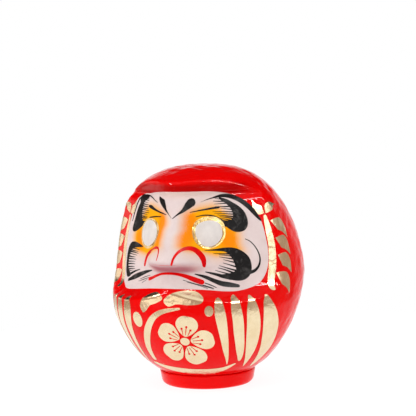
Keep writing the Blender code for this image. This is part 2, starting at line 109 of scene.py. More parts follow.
STEP_RADIUS = 0.1


def smooth_step(value, low, high):
    t = np.clip((value - low) / (high - low), 0.0, 1.0)
    return t * t * (3.0 - 2.0 * t)


def band(value, rise, fall):
    """One between two soft edges, each given as the places where it begins and ends."""
    return smooth_step(value, *rise) * (1.0 - smooth_step(value, *fall))


def smooth_curve(value, stations):
    """A monotone cubic through the stations."""
    places = np.array([station[0] for station in stations])
    values = np.array([station[1] for station in stations])
    value = np.clip(value, places[0], places[-1])
    slope = np.diff(values) / np.diff(places)
    product = slope[:-1] * slope[1:]
    total = np.where(np.abs(slope[:-1] + slope[1:]) > 1e-12, slope[:-1] + slope[1:], 1.0)
    inner = np.where(product > 0.0, 2.0 * product / total, 0.0)
    tangent = np.concatenate([slope[:1], inner, slope[-1:]])
    index = np.clip(np.searchsorted(places, value) - 1, 0, len(places) - 2)
    span = places[index + 1] - places[index]
    t = (value - places[index]) / span
    start = (2.0 * t**3 - 3.0 * t**2 + 1.0) * values[index]
    start_slope = (t**3 - 2.0 * t**2 + t) * span * tangent[index]
    end = (3.0 * t**2 - 2.0 * t**3) * values[index + 1]
    end_slope = (t**3 - t**2) * span * tangent[index + 1]
    return start + start_slope + end + end_slope


def body_radius(angle, height):
    """A superellipse of revolution, drawn in a little beside the face."""
    rise = np.clip((height - WIDEST_HEIGHT) / (HEIGHT - WIDEST_HEIGHT), 0.0, 1.0)
    fall = np.clip((WIDEST_HEIGHT - height) / (WIDEST_HEIGHT - BODY_LOW_POINT), 0.0, 1.0)
    crown = (1.0 - rise ** CROWN_POWERS[0]) ** (1.0 / CROWN_POWERS[1])
    bowl = (1.0 - fall ** BOWL_POWERS[0]) ** (1.0 / BOWL_POWERS[1])
    radius = BODY_RADIUS * np.where(height >= WIDEST_HEIGHT, crown, bowl)
    amount = band(height, *SIDE_TRIM_HEIGHTS)
    front = 1.0 - smooth_step(np.abs(angle), *SIDE_TRIM_ANGLES)
    return radius - SIDE_TRIM * amount * front + hood_bulge(angle, height)


def hood_bulge(angle, height):
    """The hood juts forward over the forehead."""
    amount = band(height, *HOOD_HEIGHTS)
    turn = np.clip(np.abs(angle) / HOOD_HALF_ANGLE, 0.0, 1.0)
    return HOOD_BULGE * amount * np.cos(0.5 * math.pi * turn) ** 2


def nose_relief(side, height):
    above = np.clip((NOSE_TOP - height) / (NOSE_TOP - NOSE_TIP), 0.0, 1.0) ** NOSE_RIDGE_POWER
    below = smooth_step(height, NOSE_BASE, NOSE_TIP)
    depth = NOSE_HEIGHT * np.where(height > NOSE_TIP, above, below)
    spread = np.clip((NOSE_TOP - height) / (NOSE_TOP - NOSE_BASE), 0.0, 1.0) ** NOSE_SPREAD_POWER
    half_width = NOSE_HALF_WIDTHS[0] + (NOSE_HALF_WIDTHS[1] - NOSE_HALF_WIDTHS[0]) * spread
    across = np.clip(np.abs(side) / half_width, 0.0, 1.0)
    offset = ((np.abs(side) - NOSTRIL_PLACE[0]) ** 2 + (height - NOSTRIL_PLACE[1]) ** 2) / NOSTRIL_SIZE**2
    return depth * (1.0 - across**3) ** NOSE_SIDE_POWER + NOSTRIL_HEIGHT * np.exp(-offset) * below


def face_relief(side, height):
    """How far nose, eyes and lips stand out from the face panel."""
    eye = ((np.abs(side) - EYE_PLACE[0]) / EYE_SIZE[0]) ** 2 + ((height - EYE_PLACE[1]) / EYE_SIZE[1]) ** 2
    lip = (side / LIP_SIZE[0]) ** 2 + ((height - LIP_HEIGHT) / LIP_SIZE[1]) ** 2
    bulges = EYE_BULGE * np.clip(1.0 - eye, 0.0, 1.0) + LIP_BULGE * np.exp(-lip)
    return nose_relief(side, height) + bulges


def panel_depth(side, height):
    """How far forward of the axis the bare face panel lies."""
    return smooth_curve(height, FACE_STATIONS) - FACE_SLOPE * np.sqrt(side**2 + FACE_ROUNDING**2)


def panel_radius(angle, height):
    """Where a horizontal line from the axis meets the face panel, found by halving."""
    near = np.full(angle.shape, PANEL_REACH[0])
    far = np.full(angle.shape, PANEL_REACH[1])
    for _ in range(PANEL_HALVINGS):
        middle = 0.5 * (near + far)
        outside = middle * np.cos(angle) > panel_depth(middle * np.sin(angle), height)
        far = np.where(outside, middle, far)
        near = np.where(outside, near, middle)
    return np.where(np.abs(angle) < FACE_HALF_ANGLE, near, PANEL_REACH[1])


def surface_radius(angle, height):
    """The smaller of body and face panel, with a soft edge between them."""
    body = body_radius(angle, height)
    face = panel_radius(angle, height)
    mix = np.clip(0.5 + 0.5 * (face - body) / FACE_EDGE_BLEND, 0.0, 1.0)
    return face * (1.0 - mix) + body * mix - FACE_EDGE_BLEND * mix * (1.0 - mix)


def surface_points(angle, height, lift=0.0):
    """Points on the lacquered surface, raised along its normal by lift."""
    angle = np.asarray(angle, float)
    height = np.asarray(height, float)

    def at(turn, rise):
        radius = surface_radius(turn, rise)
        side = radius * np.sin(turn)
        relief = np.where(np.abs(turn) < 0.5 * math.pi, face_relief(side, rise), 0.0)
        return np.stack([side, -radius * np.cos(turn) - relief, rise], axis=-1)

    place = at(angle, height)
    if lift == 0.0:
        return place
    swing = SURFACE_STEP / STEP_RADIUS
    upper = np.minimum(height + SURFACE_STEP, HEIGHT)
    east = at(angle + swing, height) - at(angle - swing, height)
    north = at(angle, upper) - at(angle, height - SURFACE_STEP)
    normal = np.cross(east, north)
    return place + lift * normal / np.linalg.norm(normal, axis=-1, keepdims=True)


# ---- Painting on the curved surface ----

WRINKLE_COUNT = 12
WRINKLE_LENGTHS = (0.006, 0.022)
WRINKLE_DEPTH = 0.00095
WRINKLE_MEAN = 0.00120
WRINKLE_SEED = 11
WRINKLE_STRETCH = (1.0, 1.0, 1.5)
WRINKLE_PHASES = (0.0, 6.283)
WRINKLE_SWAY = 1.3
SWAY_LENGTH = 0.017
BURNISH = 0.93
BURNISH_ANGLES = (math.radians(62), math.radians(95))
BURNISH_TOP = (0.214, 0.228)
SHOULDER_WRINKLES = 0.30
SHOULDER_HEIGHTS = ((0.094, 0.102), (0.110, 0.116))
MM_PER_DEGREE = 1.6
CHART = np.array([MM_PER_DEGREE, 1.0])
HOOD_CREST = (
    (0, 225.4), (20, 225), (38, 223.6), (52, 221), (61, 217.6), (68, 211.5), (73.5, 204), (79, 193),
)
CREST_SAMPLES = 90
CREST_HEIGHT = 0.0007
CREST_WIDTH = 2.5
CREST_BURNISH = 0.9
CREST_BURNISH_WIDTH = 8.0
PAINT_LIFT = 0.00020
STROKE_LIFT = 0.00034
EYELID_LIFT = STROKE_LIFT + 0.00008
RED_LIFT = STROKE_LIFT + 0.00006
FOIL_LIFT = 0.00032
RIM_LIFT = 0.00045
PAINT_THICKNESS = 0.00045
FOIL_THICKNESS = 0.00025

# Laying outlines on the body, in millimetres
OUTLINE_STEP = 0.8
FACE_OUTLINE_STEP = 1.2
HAIR_LINE_STEP = 0.3
THINNEST_HALF_STROKE = 0.06
CAP_POINTS = 7
FILL_SPACING = 1.6
FACE_SPACING = 1.4
RIM_SPACING = 1.2
ROW_SHARE = 0.866
FILL_TOLERANCE = 1e-5


def wrinkle_waves():
    """Directions, lengths and phases of the creases that the pasted paper dried with."""
    random = np.random.default_rng(WRINKLE_SEED)
    waves = []
    for _ in range(WRINKLE_COUNT):
        direction = random.normal(size=3) * WRINKLE_STRETCH
        direction /= np.linalg.norm(direction)
        bend = random.normal(size=3)
        bend /= np.linalg.norm(bend)
        length = random.uniform(*WRINKLE_LENGTHS)
        waves.append((direction, length, random.uniform(*WRINKLE_PHASES, 2), bend))
    return waves


WAVES = wrinkle_waves()


def wrinkles(points, amount):
    """Height of the creases: rounded facets that meet in soft valleys."""
    total = np.zeros(points.shape[:-1])
    for direction, length, phase, bend in WAVES:
        sway = WRINKLE_SWAY * np.sin(points @ bend / SWAY_LENGTH + phase[1])
        total += np.abs(np.sin(points @ direction * math.pi / length + phase[0] + sway)) * length
    return WRINKLE_DEPTH * amount * total / (0.5 * WRINKLE_COUNT * np.mean(WRINKLE_LENGTHS))


def wrinkle_amount(angle, height):
    """Deep over the crown, sides and back, and nearly smooth where the face and belly are burnished."""
    front = 1.0 - smooth_step(np.abs(angle), *BURNISH_ANGLES)
    below_hood = 1.0 - smooth_step(height, *BURNISH_TOP)
    shoulder = band(height, *SHOULDER_HEIGHTS)
    return 1.0 - (BURNISH - SHOULDER_WRINKLES * shoulder) * front * below_hood


def crest_distance(angle, height):
    """How many millimetres from the crest where the front of the hood turns over into the crown."""
    turns, rises = zip(*HOOD_CREST)
    share = np.linspace(0.0, len(turns) - 1.0, CREST_SAMPLES)
    crest_turn = np.interp(share, np.arange(len(turns)), turns)
    crest_rise = np.interp(share, np.arange(len(rises)), rises)
    turn = np.abs(np.degrees(angle))
    rise = height / MM
    nearest = np.full(turn.shape, np.inf)
    for place, level in zip(crest_turn, crest_rise):
        nearest = np.minimum(nearest, np.hypot((turn - place) * MM_PER_DEGREE, rise - level))
    return nearest


def skin_points(angle, height, lift=0.0):
    """Points on the finished surface, wrinkles included, raised by lift."""
    angle = np.asarray(angle, float)
    height = np.asarray(height, float)
    base = surface_points(angle, height)
    crest = crest_distance(angle, height)
    burnish = CREST_BURNISH * np.exp(-(crest / CREST_BURNISH_WIDTH) ** 2)
    amount = wrinkle_amount(angle, height) * (1.0 - burnish)
    rise = wrinkles(base, amount) - WRINKLE_MEAN * amount + lift
    rise = rise + CREST_HEIGHT * np.exp(-(crest / CREST_WIDTH) ** 2)
    raised = surface_points(angle, height, 1.0)
    points = base + (raised - base) * rise[..., None]
    points[..., 1] += BODY_OFFSET
    return points


def chart_scale(angle, height):
    """Millimetres of surface per radian of angle and per millimetre of height."""
    step = SURFACE_STEP
    east = surface_points(angle + step, height) - surface_points(angle - step, height)
    north = surface_points(angle, height + step) - surface_points(angle, height - step)
    east_scale = 0.5 / MM * np.linalg.norm(east, axis=-1) / step
    return east_scale, np.linalg.norm(north, axis=-1) / (2.0 * step)


def smooth_path(points, step, closed=False):
    """A Catmull-Rom curve through the rows of points, resampled about every step."""
    points = np.array(points, float)
    if closed:
        points = np.vstack([points[-1], points, points[:2]])
    else:
        points = np.vstack([2 * points[0] - points[1], points, 2 * points[-1] - points[-2]])
    samples = []
    for before, start, end, after in zip(points, points[1:], points[2:], points[3:]):
        count = max(2, int(np.hypot(*(end - start)[:2] * CHART) / step) + 1)
        square = 2 * before - 5 * start + 4 * end - after
        cube = 3 * start - before - 3 * end + after
        for t in np.linspace(0.0, 1.0, count, endpoint=False):
            samples.append(start + 0.5 * t * (end - before + (square * t + cube * t * t)))
    if not closed:
        samples.append(points[-2])
    return np.array(samples)


def stroke(points, step=OUTLINE_STEP):
    """The outline of a brush stroke through (angle, height, width) points, with round ends."""
    path = smooth_path(points, step)
    angle = np.radians(path[:, 0])
    height = path[:, 1] * MM
    half = np.maximum(0.5 * path[:, 2], THINNEST_HALF_STROKE)
    east_scale, north_scale = chart_scale(angle, height)
    east = np.gradient(angle) * east_scale
    north = np.gradient(path[:, 1]) * north_scale
    length = np.maximum(np.hypot(east, north), 1e-9)
    east, north = east / length, north / length
    sides = []
    for sign in (1.0, -1.0):
        aside = np.degrees(-sign * north * half / east_scale)
        sides.append(np.stack([path[:, 0] + aside, path[:, 1] + sign * east * half / north_scale], axis=1))
    caps = []
    for end, sign in ((-1, 1.0), (0, -1.0)):
        turns = np.linspace(0.5 * math.pi, -0.5 * math.pi, CAP_POINTS)[1:-1]
        ahead = sign * np.cos(turns) * half[end]
        aside = sign * np.sin(turns) * half[end]
        out_east = east[end] * ahead - north[end] * aside
        out_north = north[end] * ahead + east[end] * aside
        caps.append(np.stack([
            path[end, 0] + np.degrees(out_east / east_scale[end]),
            path[end, 1] + out_north / north_scale[end],
        ], axis=1))
    return np.vstack([sides[0], caps[0], sides[1][::-1], caps[1]])


def blob(points, step=OUTLINE_STEP):
    """A closed outline through (angle, height) points."""
    return smooth_path(points, step, closed=True)


def oval(centre, radii, turn=0.0, around=48):
    """A round outline of radii in millimetres, centred on (angle, height)."""
    turns = np.linspace(0.0, 2.0 * math.pi, around, endpoint=False)
    out_east = radii[0] * np.cos(turns)
    out_north = radii[1] * np.sin(turns)
    east_scale, north_scale = chart_scale(np.radians([centre[0]]), np.array([centre[1] * MM]))
    east = out_east * math.cos(turn) - out_north * math.sin(turn)
    north = out_east * math.sin(turn) + out_north * math.cos(turn)
    return np.stack([centre[0] + np.degrees(east / east_scale), centre[1] + north / north_scale], axis=1)


def filled(outlines, holes=(), spacing=FILL_SPACING):
    """Triangles that fill the outlines but not the holes, as (angle, height) points and faces."""
    points = []
    faces = []
    for outline in list(outlines) + list(holes):
        flat = np.asarray(outline) * CHART
        following = np.roll(flat, -1, axis=0)
        if np.sum(flat[:, 0] * following[:, 1] - flat[:, 1] * following[:, 0]) < 0.0:
            flat = flat[::-1]
        faces.append(list(range(len(points), len(points) + len(flat))))
        points.extend(flat.tolist())
    low = np.min(points, axis=0)
    high = np.max(points, axis=0)
    rows = np.arange(low[1] + 0.5 * spacing, high[1], ROW_SHARE * spacing)
    for number, row in enumerate(rows):
        columns = np.arange(low[0] + (0.25 + 0.5 * (number % 2)) * spacing, high[0], spacing)
        points.extend((column, row) for column in columns)
    flat_points = [Vector(point) for point in points]
    found = delaunay_2d_cdt(flat_points, [], faces, 1, FILL_TOLERANCE, True)
    first_hole = len(outlines)
    kept = [face for face, inside in zip(found[2], found[5]) if inside and max(inside) < first_hole]
    used = sorted({corner for face in kept for corner in face})
    index = {corner: number for number, corner in enumerate(used)}
    places = np.array([found[0][corner][:] for corner in used]) / CHART
    return places, [[index[corner] for corner in face] for face in kept]


def new_object(name, vertices, faces, material):
    mesh = bpy.data.meshes.new(name)
    mesh.from_pydata([tuple(vertex) for vertex in vertices], [], faces)
    mesh.validate()
    mesh.shade_smooth()
    mesh.materials.append(material)
    item = bpy.data.objects.new(name, mesh)
    bpy.context.scene.collection.objects.link(item)
    return item


def face_away(item):
    """Turns the faces of an open sheet so that they look outwards."""
    mesh = item.data
    builder = bmesh.new()
    builder.from_mesh(mesh)
    bmesh.ops.recalc_face_normals(builder, faces=builder.faces)
    builder.normal_update()
    middle = Vector((0.0, 0.0, WIDEST_HEIGHT))
    outwards = sum(
        face.normal.dot(face.calc_center_median() - middle) * face.calc_area() for face in builder.faces
    )
    if outwards < 0.0:
        bmesh.ops.reverse_faces(builder, faces=builder.faces)
    for edge in builder.edges:
        edge.smooth = not edge.is_boundary
    builder.to_mesh(mesh)
    builder.free()


def add_masks(item, places, masks):
    values = masks(places[:, 0], places[:, 1])
    for name, value in values.items():
        layer = item.data.attributes.new(name, "FLOAT", "POINT")
        layer.data.foreach_set("value", value.astype(np.float32))


def paint(name, outlines, material, lift, holes=(), spacing=FILL_SPACING, thickness=PAINT_THICKNESS,
          masks=None):
    """A coat of paint or a sheet of foil, laid on the surface and closed by its own thickness."""
    places, faces = filled(outlines, holes, spacing)
    points = skin_points(np.radians(places[:, 0]), places[:, 1] * MM, lift)
    item = new_object(name, points, faces, material)
    if masks:
        add_masks(item, places, masks)
    face_away(item)
    solidify = item.modifiers.new("thickness", "SOLIDIFY")
    solidify.thickness = thickness
    solidify.offset = -1.0
    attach(item, "root")
    return item


# ---- Materials ----

class Nodes:
    """Short ways of adding nodes to a node tree. A value is a number, a colour or another node's socket."""

    def __init__(self, tree):
        self.tree = tree

    def add(self, kind, settings=(), **inputs):
        node = self.tree.nodes.new(kind)
        for key, value in dict(settings).items():
            setattr(node, key, value)
        for key, value in inputs.items():
            self.set(node, key.replace("_", " "), value)
        return node

    def set(self, node, key, value):
        socket = node.inputs[key]
        if isinstance(value, bpy.types.NodeSocket):
            self.tree.links.new(value, socket)
        else:
            socket.default_value = value

    def remap(self, value, low, high, to_low=0.0, to_high=1.0, kind="LINEAR"):
        node = self.add(
            "ShaderNodeMapRange", {"interpolation_type": kind},
            Value=value, From_Min=low, From_Max=high, To_Min=to_low, To_Max=to_high,
        )
        return node.outputs["Result"]

    def math(self, operation, first, second, clamp=False):
        node = self.add("ShaderNodeMath", {"operation": operation, "use_clamp": clamp})
        self.set(node, 0, first)
        self.set(node, 1, second)
        return node.outputs["Value"]

    def mix(self, factor, first, second):
        node = self.add("ShaderNodeMix", {"data_type": "RGBA"})
        self.set(node, 0, factor)
        for index, value in ((6, first), (7, second)):
            self.set(node, index, value if isinstance(value, bpy.types.NodeSocket) else (*value, 1.0))
        return node.outputs[2]


class Shader(Nodes):
    """The nodes of a Principled material."""

    def __init__(self, name, roughness, metallic=0.0, specular=0.5):
        self.material = bpy.data.materials.new(name)
        self.material.use_nodes = True
        super().__init__(self.material.node_tree)
        self.surface = self.tree.nodes["Principled BSDF"]
        self.set(self.surface, "Roughness", roughness)
        self.set(self.surface, "Metallic", metallic)
        self.set(self.surface, "Specular IOR Level", specular)
        self.place = self.add("ShaderNodeTexCoord").outputs["Object"]

    def stretched(self, scale):
        """The place on the object, scaled differently along each axis."""
        return self.add("ShaderNodeMapping", Vector=self.place, Scale=scale).outputs["Vector"]

    def noise(self, scale, detail, roughness=0.5, distortion=0.0, place=None):
        node = self.add(
            "ShaderNodeTexNoise", Vector=place or self.place, Scale=scale, Detail=detail,
            Roughness=roughness, Distortion=distortion,
        )
        return node.outputs["Fac"]

    def cells(self, scale):
        return self.add("ShaderNodeTexVoronoi", Vector=self.place, Scale=scale).outputs["Distance"]

    def attribute(self, name):
        return self.add("ShaderNodeAttribute", {"attribute_name": name}).outputs["Fac"]

    def colour(self, value):
        self.set(self.surface, "Base Color", value)

    def roughness(self, value):
        self.set(self.surface, "Roughness", value)

    def bump(self, height, strength, distance):
        node = self.add("ShaderNodeBump", Height=height, Strength=strength, Distance=distance)
        self.set(self.surface, "Normal", node.outputs["Normal"])


def lacquer_material():
    """Bright red lacquer, brushed over paper: faint streaks, pooled colour and a fine orange-peel skin."""
    shader = Shader("red_lacquer", 0.2, specular=LACQUER_SPECULAR)
    pooled = shader.remap(shader.noise(28.0, 3.0), 0.35, 0.7)
    streaks = shader.noise(160.0, 3.0, place=shader.stretched((1.0, 1.0, 0.22)))
    streaks = shader.remap(streaks, 0.4, 0.7, 0.0, 0.35)
    red = shader.mix(shader.math("MAXIMUM", pooled, streaks), LACQUER_RED, LACQUER_DEEP_RED)
    # Painted shade: the band under the hood's rim is darkened towards a deep red.
    shader.colour(shader.mix(shader.attribute("shade"), red, LACQUER_PAINTED_SHADE))
    shader.roughness(shader.remap(shader.noise(90.0, 4.0), 0.3, 0.7, 0.04, 0.10))
    fibres = shader.noise(420.0, 3.0, 0.6, 0.6)
    peel = shader.noise(150.0, 2.0)
    shader.bump(shader.math("ADD", shader.math("MULTIPLY", fibres, 0.35), peel), 0.60, 0.0006)
    return shader.material


def clay_material():
    """The foot: the same red brushed on clay, more worn, with faint throwing lines."""
    shader = Shader("red_clay", 0.18, specular=LACQUER_SPECULAR)
    worn = shader.remap(shader.noise(45.0, 4.0, 0.6), 0.45, 0.7, 0.0, 0.8)
    shader.colour(shader.mix(worn, LACQUER_RED, LACQUER_DEEP_RED))
    shader.roughness(shader.remap(shader.noise(120.0, 3.0), 0.3, 0.7, 0.04, 0.12))
    rings = shader.noise(300.0, 2.0, place=shader.stretched((0.12, 0.12, 1.0)))
    shader.bump(shader.math("ADD", rings, shader.noise(80.0, 2.0)), 0.25, 0.0004)
    return shader.material


def face_material():
    """Chalky shell-white, with the airbrushed orange round the eyes, a painted shade along the top under the
    hood, and mauve under the nose that is partly paint and partly painted shade.
    """
    shader = Shader("face_white", 0.62, specular=0.03)
    mottle = shader.remap(shader.noise(60.0, 5.0, 0.62), 0.3, 0.7)
    white = shader.mix(mottle, FACE_WHITE, FACE_SHADE)
    fibres = shader.remap(shader.noise(330.0, 4.0, 0.7, 0.8), 0.42, 0.75, 0.0, 0.35)
    white = shader.mix(fibres, white, FACE_FIBRE)
    spray = shader.remap(shader.noise(900.0, 2.0), 0.2, 0.8, -0.10, 0.10)

    def speckled(amount):
        grains = shader.math("MULTIPLY", spray, shader.math("MULTIPLY", amount, 2.0))
        return shader.math("ADD", amount, grains, clamp=True)

    # The sprayed blush round the orange, together with the painted shade along the top under the hood.
    warm = shader.mix(speckled(shader.attribute("blush_and_shade")), white, FACE_BLUSH_AND_SHADE)
    orange = shader.mix(shader.attribute("depth"), FACE_YELLOW, FACE_ORANGE)
    glow = speckled(shader.math("MULTIPLY", shader.attribute("glow"), 1.15))
    warm = shader.mix(glow, warm, orange)
    # Mauve under the nose: partly pink paint, partly painted shade.
    shader.colour(shader.mix(shader.attribute("shade"), warm, FACE_MAUVE_AND_SHADE))
    shader.roughness(shader.remap(mottle, 0.0, 1.0, 0.52, 0.70))
    shader.bump(shader.math("ADD", shader.noise(260.0, 4.0, 0.6), shader.noise(70.0, 2.0)), 0.22, 0.0004)
    return shader.material


def ink_material():
    """Black brush ink, greyer and drier where the brush ran out."""
    shader = Shader("black_ink", 0.5, specular=0.06)
    dry = shader.remap(shader.noise(130.0, 5.0, 0.70, 0.5), 0.49, 0.68)
    deep = shader.remap(shader.noise(45.0, 2.0), 0.38, 0.62, 0.10, 1.0)
    shader.colour(shader.mix(shader.math("MULTIPLY", dry, deep), INK_BLACK, INK_GREY))
    shader.roughness(shader.remap(dry, 0.0, 1.0, 0.42, 0.62))
    shader.bump(shader.noise(300.0, 4.0, 0.6), 0.2, 0.0003)
    return shader.material


def mottled_material(name, roughness, specular, patches, edges, colours, gloss, grain, bump):
    """Two colours in soft patches, which also vary the gloss, under a fine grain."""
    shader = Shader(name, roughness, specular=specular)
    patch = shader.remap(shader.noise(*patches), *edges)
    shader.colour(shader.mix(patch, *colours))
    shader.roughness(shader.remap(patch, 0.0, 1.0, *gloss))
    shader.bump(shader.noise(*grain), *bump)
    return shader.material


def foil_material(name, colour, pale, roughness, crinkle):
    """Pressed gold leaf: pale metal, crazed into small facets and uneven in gloss."""
    shader = Shader(name, roughness, metallic=1.0)
    cloud = shader.remap(shader.noise(75.0, 4.0, 0.6), 0.35, 0.7)
    shader.colour(shader.mix(cloud, colour, pale))
    gloss = shader.noise(90.0, 4.0, 0.6)
    shader.roughness(shader.remap(gloss, 0.3, 0.7, roughness - 0.06, roughness + 0.06))
    creases = shader.noise(70.0, 3.0, 0.5, 1.4)
    facets = shader.math("MULTIPLY", shader.cells(60.0), 0.5)
    fine = shader.math("MULTIPLY", shader.noise(300.0, 2.0), 0.08)
    height = shader.math("ADD", shader.math("ADD", creases, facets), fine)
    shader.bump(height, 1.0, crinkle)
    return shader.material


LACQUER_SPECULAR = 0.12
LACQUER_RED = (0.88, 0.0, 0.0)
LACQUER_DEEP_RED = (0.78, 0.0, 0.0)
# Deep red of the painted shade under the hood's rim
LACQUER_PAINTED_SHADE = (0.46, 0.0, 0.0)
FACE_WHITE = (0.82, 0.68, 0.655)
FACE_SHADE = (0.74, 0.59, 0.57)
FACE_FIBRE = (0.81, 0.69, 0.67)
# Colour of the sprayed blush and of the painted shade under the hood
FACE_BLUSH_AND_SHADE = (0.86, 0.55, 0.38)
FACE_YELLOW = (1.0, 0.42, 0.0)
FACE_ORANGE = (1.0, 0.27, 0.0)
# Mauve paint under the nose, darkened further as painted shade
FACE_MAUVE_AND_SHADE = (0.44, 0.15, 0.18)
INK_BLACK = (0.009, 0.008, 0.008)
INK_GREY = (0.080, 0.075, 0.072)

RED = lacquer_material()
CLAY = clay_material()
WHITE = face_material()
INK = ink_material()
# The red of the nostrils and the mouth, glossier than the face round it
BRUSH_RED = mottled_material(
    "brush_red", 0.34, 0.04, (120.0, 4.0), (0.45, 0.7), ((0.80, 0.0, 0.0), (0.58, 0.0, 0.005)),
    (0.28, 0.45), (350.0, 3.0), (0.2, 0.0003),
)
# The blank eyes, a smoother and cooler white than the face
EYE_WHITE = mottled_material(
    "eye_white", 0.5, 0.1, (85.0, 4.0, 0.6), (0.35, 0.7), ((0.82, 0.755, 0.71), (0.72, 0.655, 0.62)),
    (0.42, 0.58), (240.0, 4.0, 0.6), (0.18, 0.0003),
)
GOLD = foil_material("gold_foil", (0.82, 0.66, 0.41), (0.88, 0.74, 0.50), 0.22, 0.0005)
RIM_GOLD = foil_material("rim_gold", (0.62, 0.44, 0.17), (0.88, 0.70, 0.34), 0.22, 0.0006)
# Bare mulberry paper of the strip that joins the shells inside
JOINT_PAPER = mottled_material(
    "joint_paper", 0.85, 0.2, (260.0, 5.0, 0.7, 1.2), (0.45, 0.7), ((0.62, 0.53, 0.40), (0.47, 0.38, 0.27)),
    (0.75, 0.95), (400.0, 4.0, 0.7), (0.4, 0.0004),
)


# ---- The lacquered body and its foot ----

BODY_COLUMNS = 400
BODY_ROWS = 232
LINING = 0.0026
# How far each row is turned in, as a share of the lining, and its rise above the opening in metres
LINING_ROWS = ((0.2, -0.0008), (0.6, -0.0012), (1.0, -0.0006), (1.0, 0.010))
# The lining is closed off this far above the opening, inside the foot's spigot
LINING_TOP = 0.012
# How far below the top the last row and the middle of the crown lie
CROWN_GAPS = (0.00012, 0.0001)
HEIGHT_SAMPLES = 1500
SAMPLE_ANGLES = np.radians((0.0, 14.0, 40.0, 90.0, 180.0))
TURN_SAMPLES = 2000
FRONT_DENSITY = 0.9
FRONT_EDGE = (1.0, 1.5)
# Where the painted shade under the hood's rim lies
HOOD_SHADE_ANGLES = (math.radians(50), math.radians(74))
HOOD_SHADE_HEIGHTS = ((0.209, 0.214), (0.2195, 0.2245))


def even_heights(low, high, count):
    """Heights whose rows lie about equally far apart on the surface."""
    heights = np.linspace(low, high, HEIGHT_SAMPLES)
    spread = np.zeros(len(heights) - 1)
    for angle in SAMPLE_ANGLES:
        places = surface_points(np.full(len(heights), angle), heights)
        spread = np.maximum(spread, np.linalg.norm(np.diff(places, axis=0), axis=1))
    length = np.concatenate([[0.0], np.cumsum(spread)])
    return np.interp(np.linspace(0.0, length[-1], count), length, heights)


def front_weighted_angles(count):
    """Angles all the way round, closer together across the face."""
    turns = np.linspace(-math.pi, math.pi, TURN_SAMPLES)
    density = 1.0 + FRONT_DENSITY * (1.0 - smooth_step(np.abs(turns), *FRONT_EDGE))
    length = np.concatenate([[0.0], np.cumsum(0.5 * (density[1:] + density[:-1]))])
    return np.interp(np.linspace(0.0, length[-1], count, endpoint=False), length, turns)


def hood_shade(angle, height):
    """Painted shade: the band under the rim of the hood is darkened for the shade that falls under the hood.
    """
    front = 1.0 - smooth_step(np.abs(angle), *HOOD_SHADE_ANGLES)
    return front * band(height, *HOOD_SHADE_HEIGHTS)


def ring_faces(first, around):
    """The faces between a ring of points, numbered from first, and the ring after it."""
    pairs = [(step, (step + 1) % around) for step in range(around)]
    return [(first + a, first + b, first + around + b, first + around + a) for a, b in pairs]


def make_body():
    """One skin of lacquered paper over both shells, turned in at the opening that the foot fills."""
    heights = even_heights(SHELL_OPENING_HEIGHT, HEIGHT - CROWN_GAPS[0], BODY_ROWS)
    angles = front_weighted_angles(BODY_COLUMNS)
    angle_grid, height_grid = np.meshgrid(angles, heights)
    rows = list(skin_points(angle_grid, height_grid))
    opening = rows[0]
    middle = np.array([0.0, BODY_OFFSET, 0.0])
    for inward, rise in LINING_ROWS:
        row = opening - middle
        flat = np.linalg.norm(row[:, :2], axis=1, keepdims=True)
        row[:, :2] *= 1.0 - inward * LINING / flat
        row[:, 2] += rise
        rows.insert(0, row + middle)
    points = np.vstack(rows).tolist()
    faces = []
    for row in range(len(rows) - 1):
        faces += ring_faces(row * BODY_COLUMNS, BODY_COLUMNS)
    crown = len(points)
    points.append((0.0, BODY_OFFSET, HEIGHT - CROWN_GAPS[1]))
    last = (len(rows) - 1) * BODY_COLUMNS
    for column in range(BODY_COLUMNS):
        faces.append((last + column, last + (column + 1) % BODY_COLUMNS, crown))
    inside = len(points)
    points.append((0.0, BODY_OFFSET, SHELL_OPENING_HEIGHT + LINING_TOP))
    for column in range(BODY_COLUMNS):
        faces.append(((column + 1) % BODY_COLUMNS, column, inside))
    body = new_object("lacquered_body", points, faces, RED)
    # The shade attribute carries the painted shade under the hood's rim.
    shade = np.zeros(len(points))
    first = (len(rows) - BODY_ROWS) * BODY_COLUMNS
    shade[first:crown] = hood_shade(angle_grid, height_grid).ravel()
    layer = body.data.attributes.new("shade", "FLOAT", "POINT")
    layer.data.foreach_set("value", shade.astype(np.float32))
    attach(body, "root")
    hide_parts("shell_front", "shell_back")
    return body


# Radius and height in millimetres, from the middle of the base up to the spigot
FOOT_PROFILE = (
    (0, 0.9), (40, 0.9), (42, 0.3), (43.5, 0), (45.6, 0), (48.4, 0.7), (50.2, 2.4), (51, 4.6), (51.6, 8),
    (52.3, 11.8), (52.7, 14.8), (52.3, 15.7), (51, 16), (47.4, 16.1), (46.6, 16.5), (46.4, 20),
    (46, 25.5), (43, 28.9), (40, 29.8), (0, 29.8),
)
FOOT_AROUND = 160
FOOT_WOBBLE = 0.00012


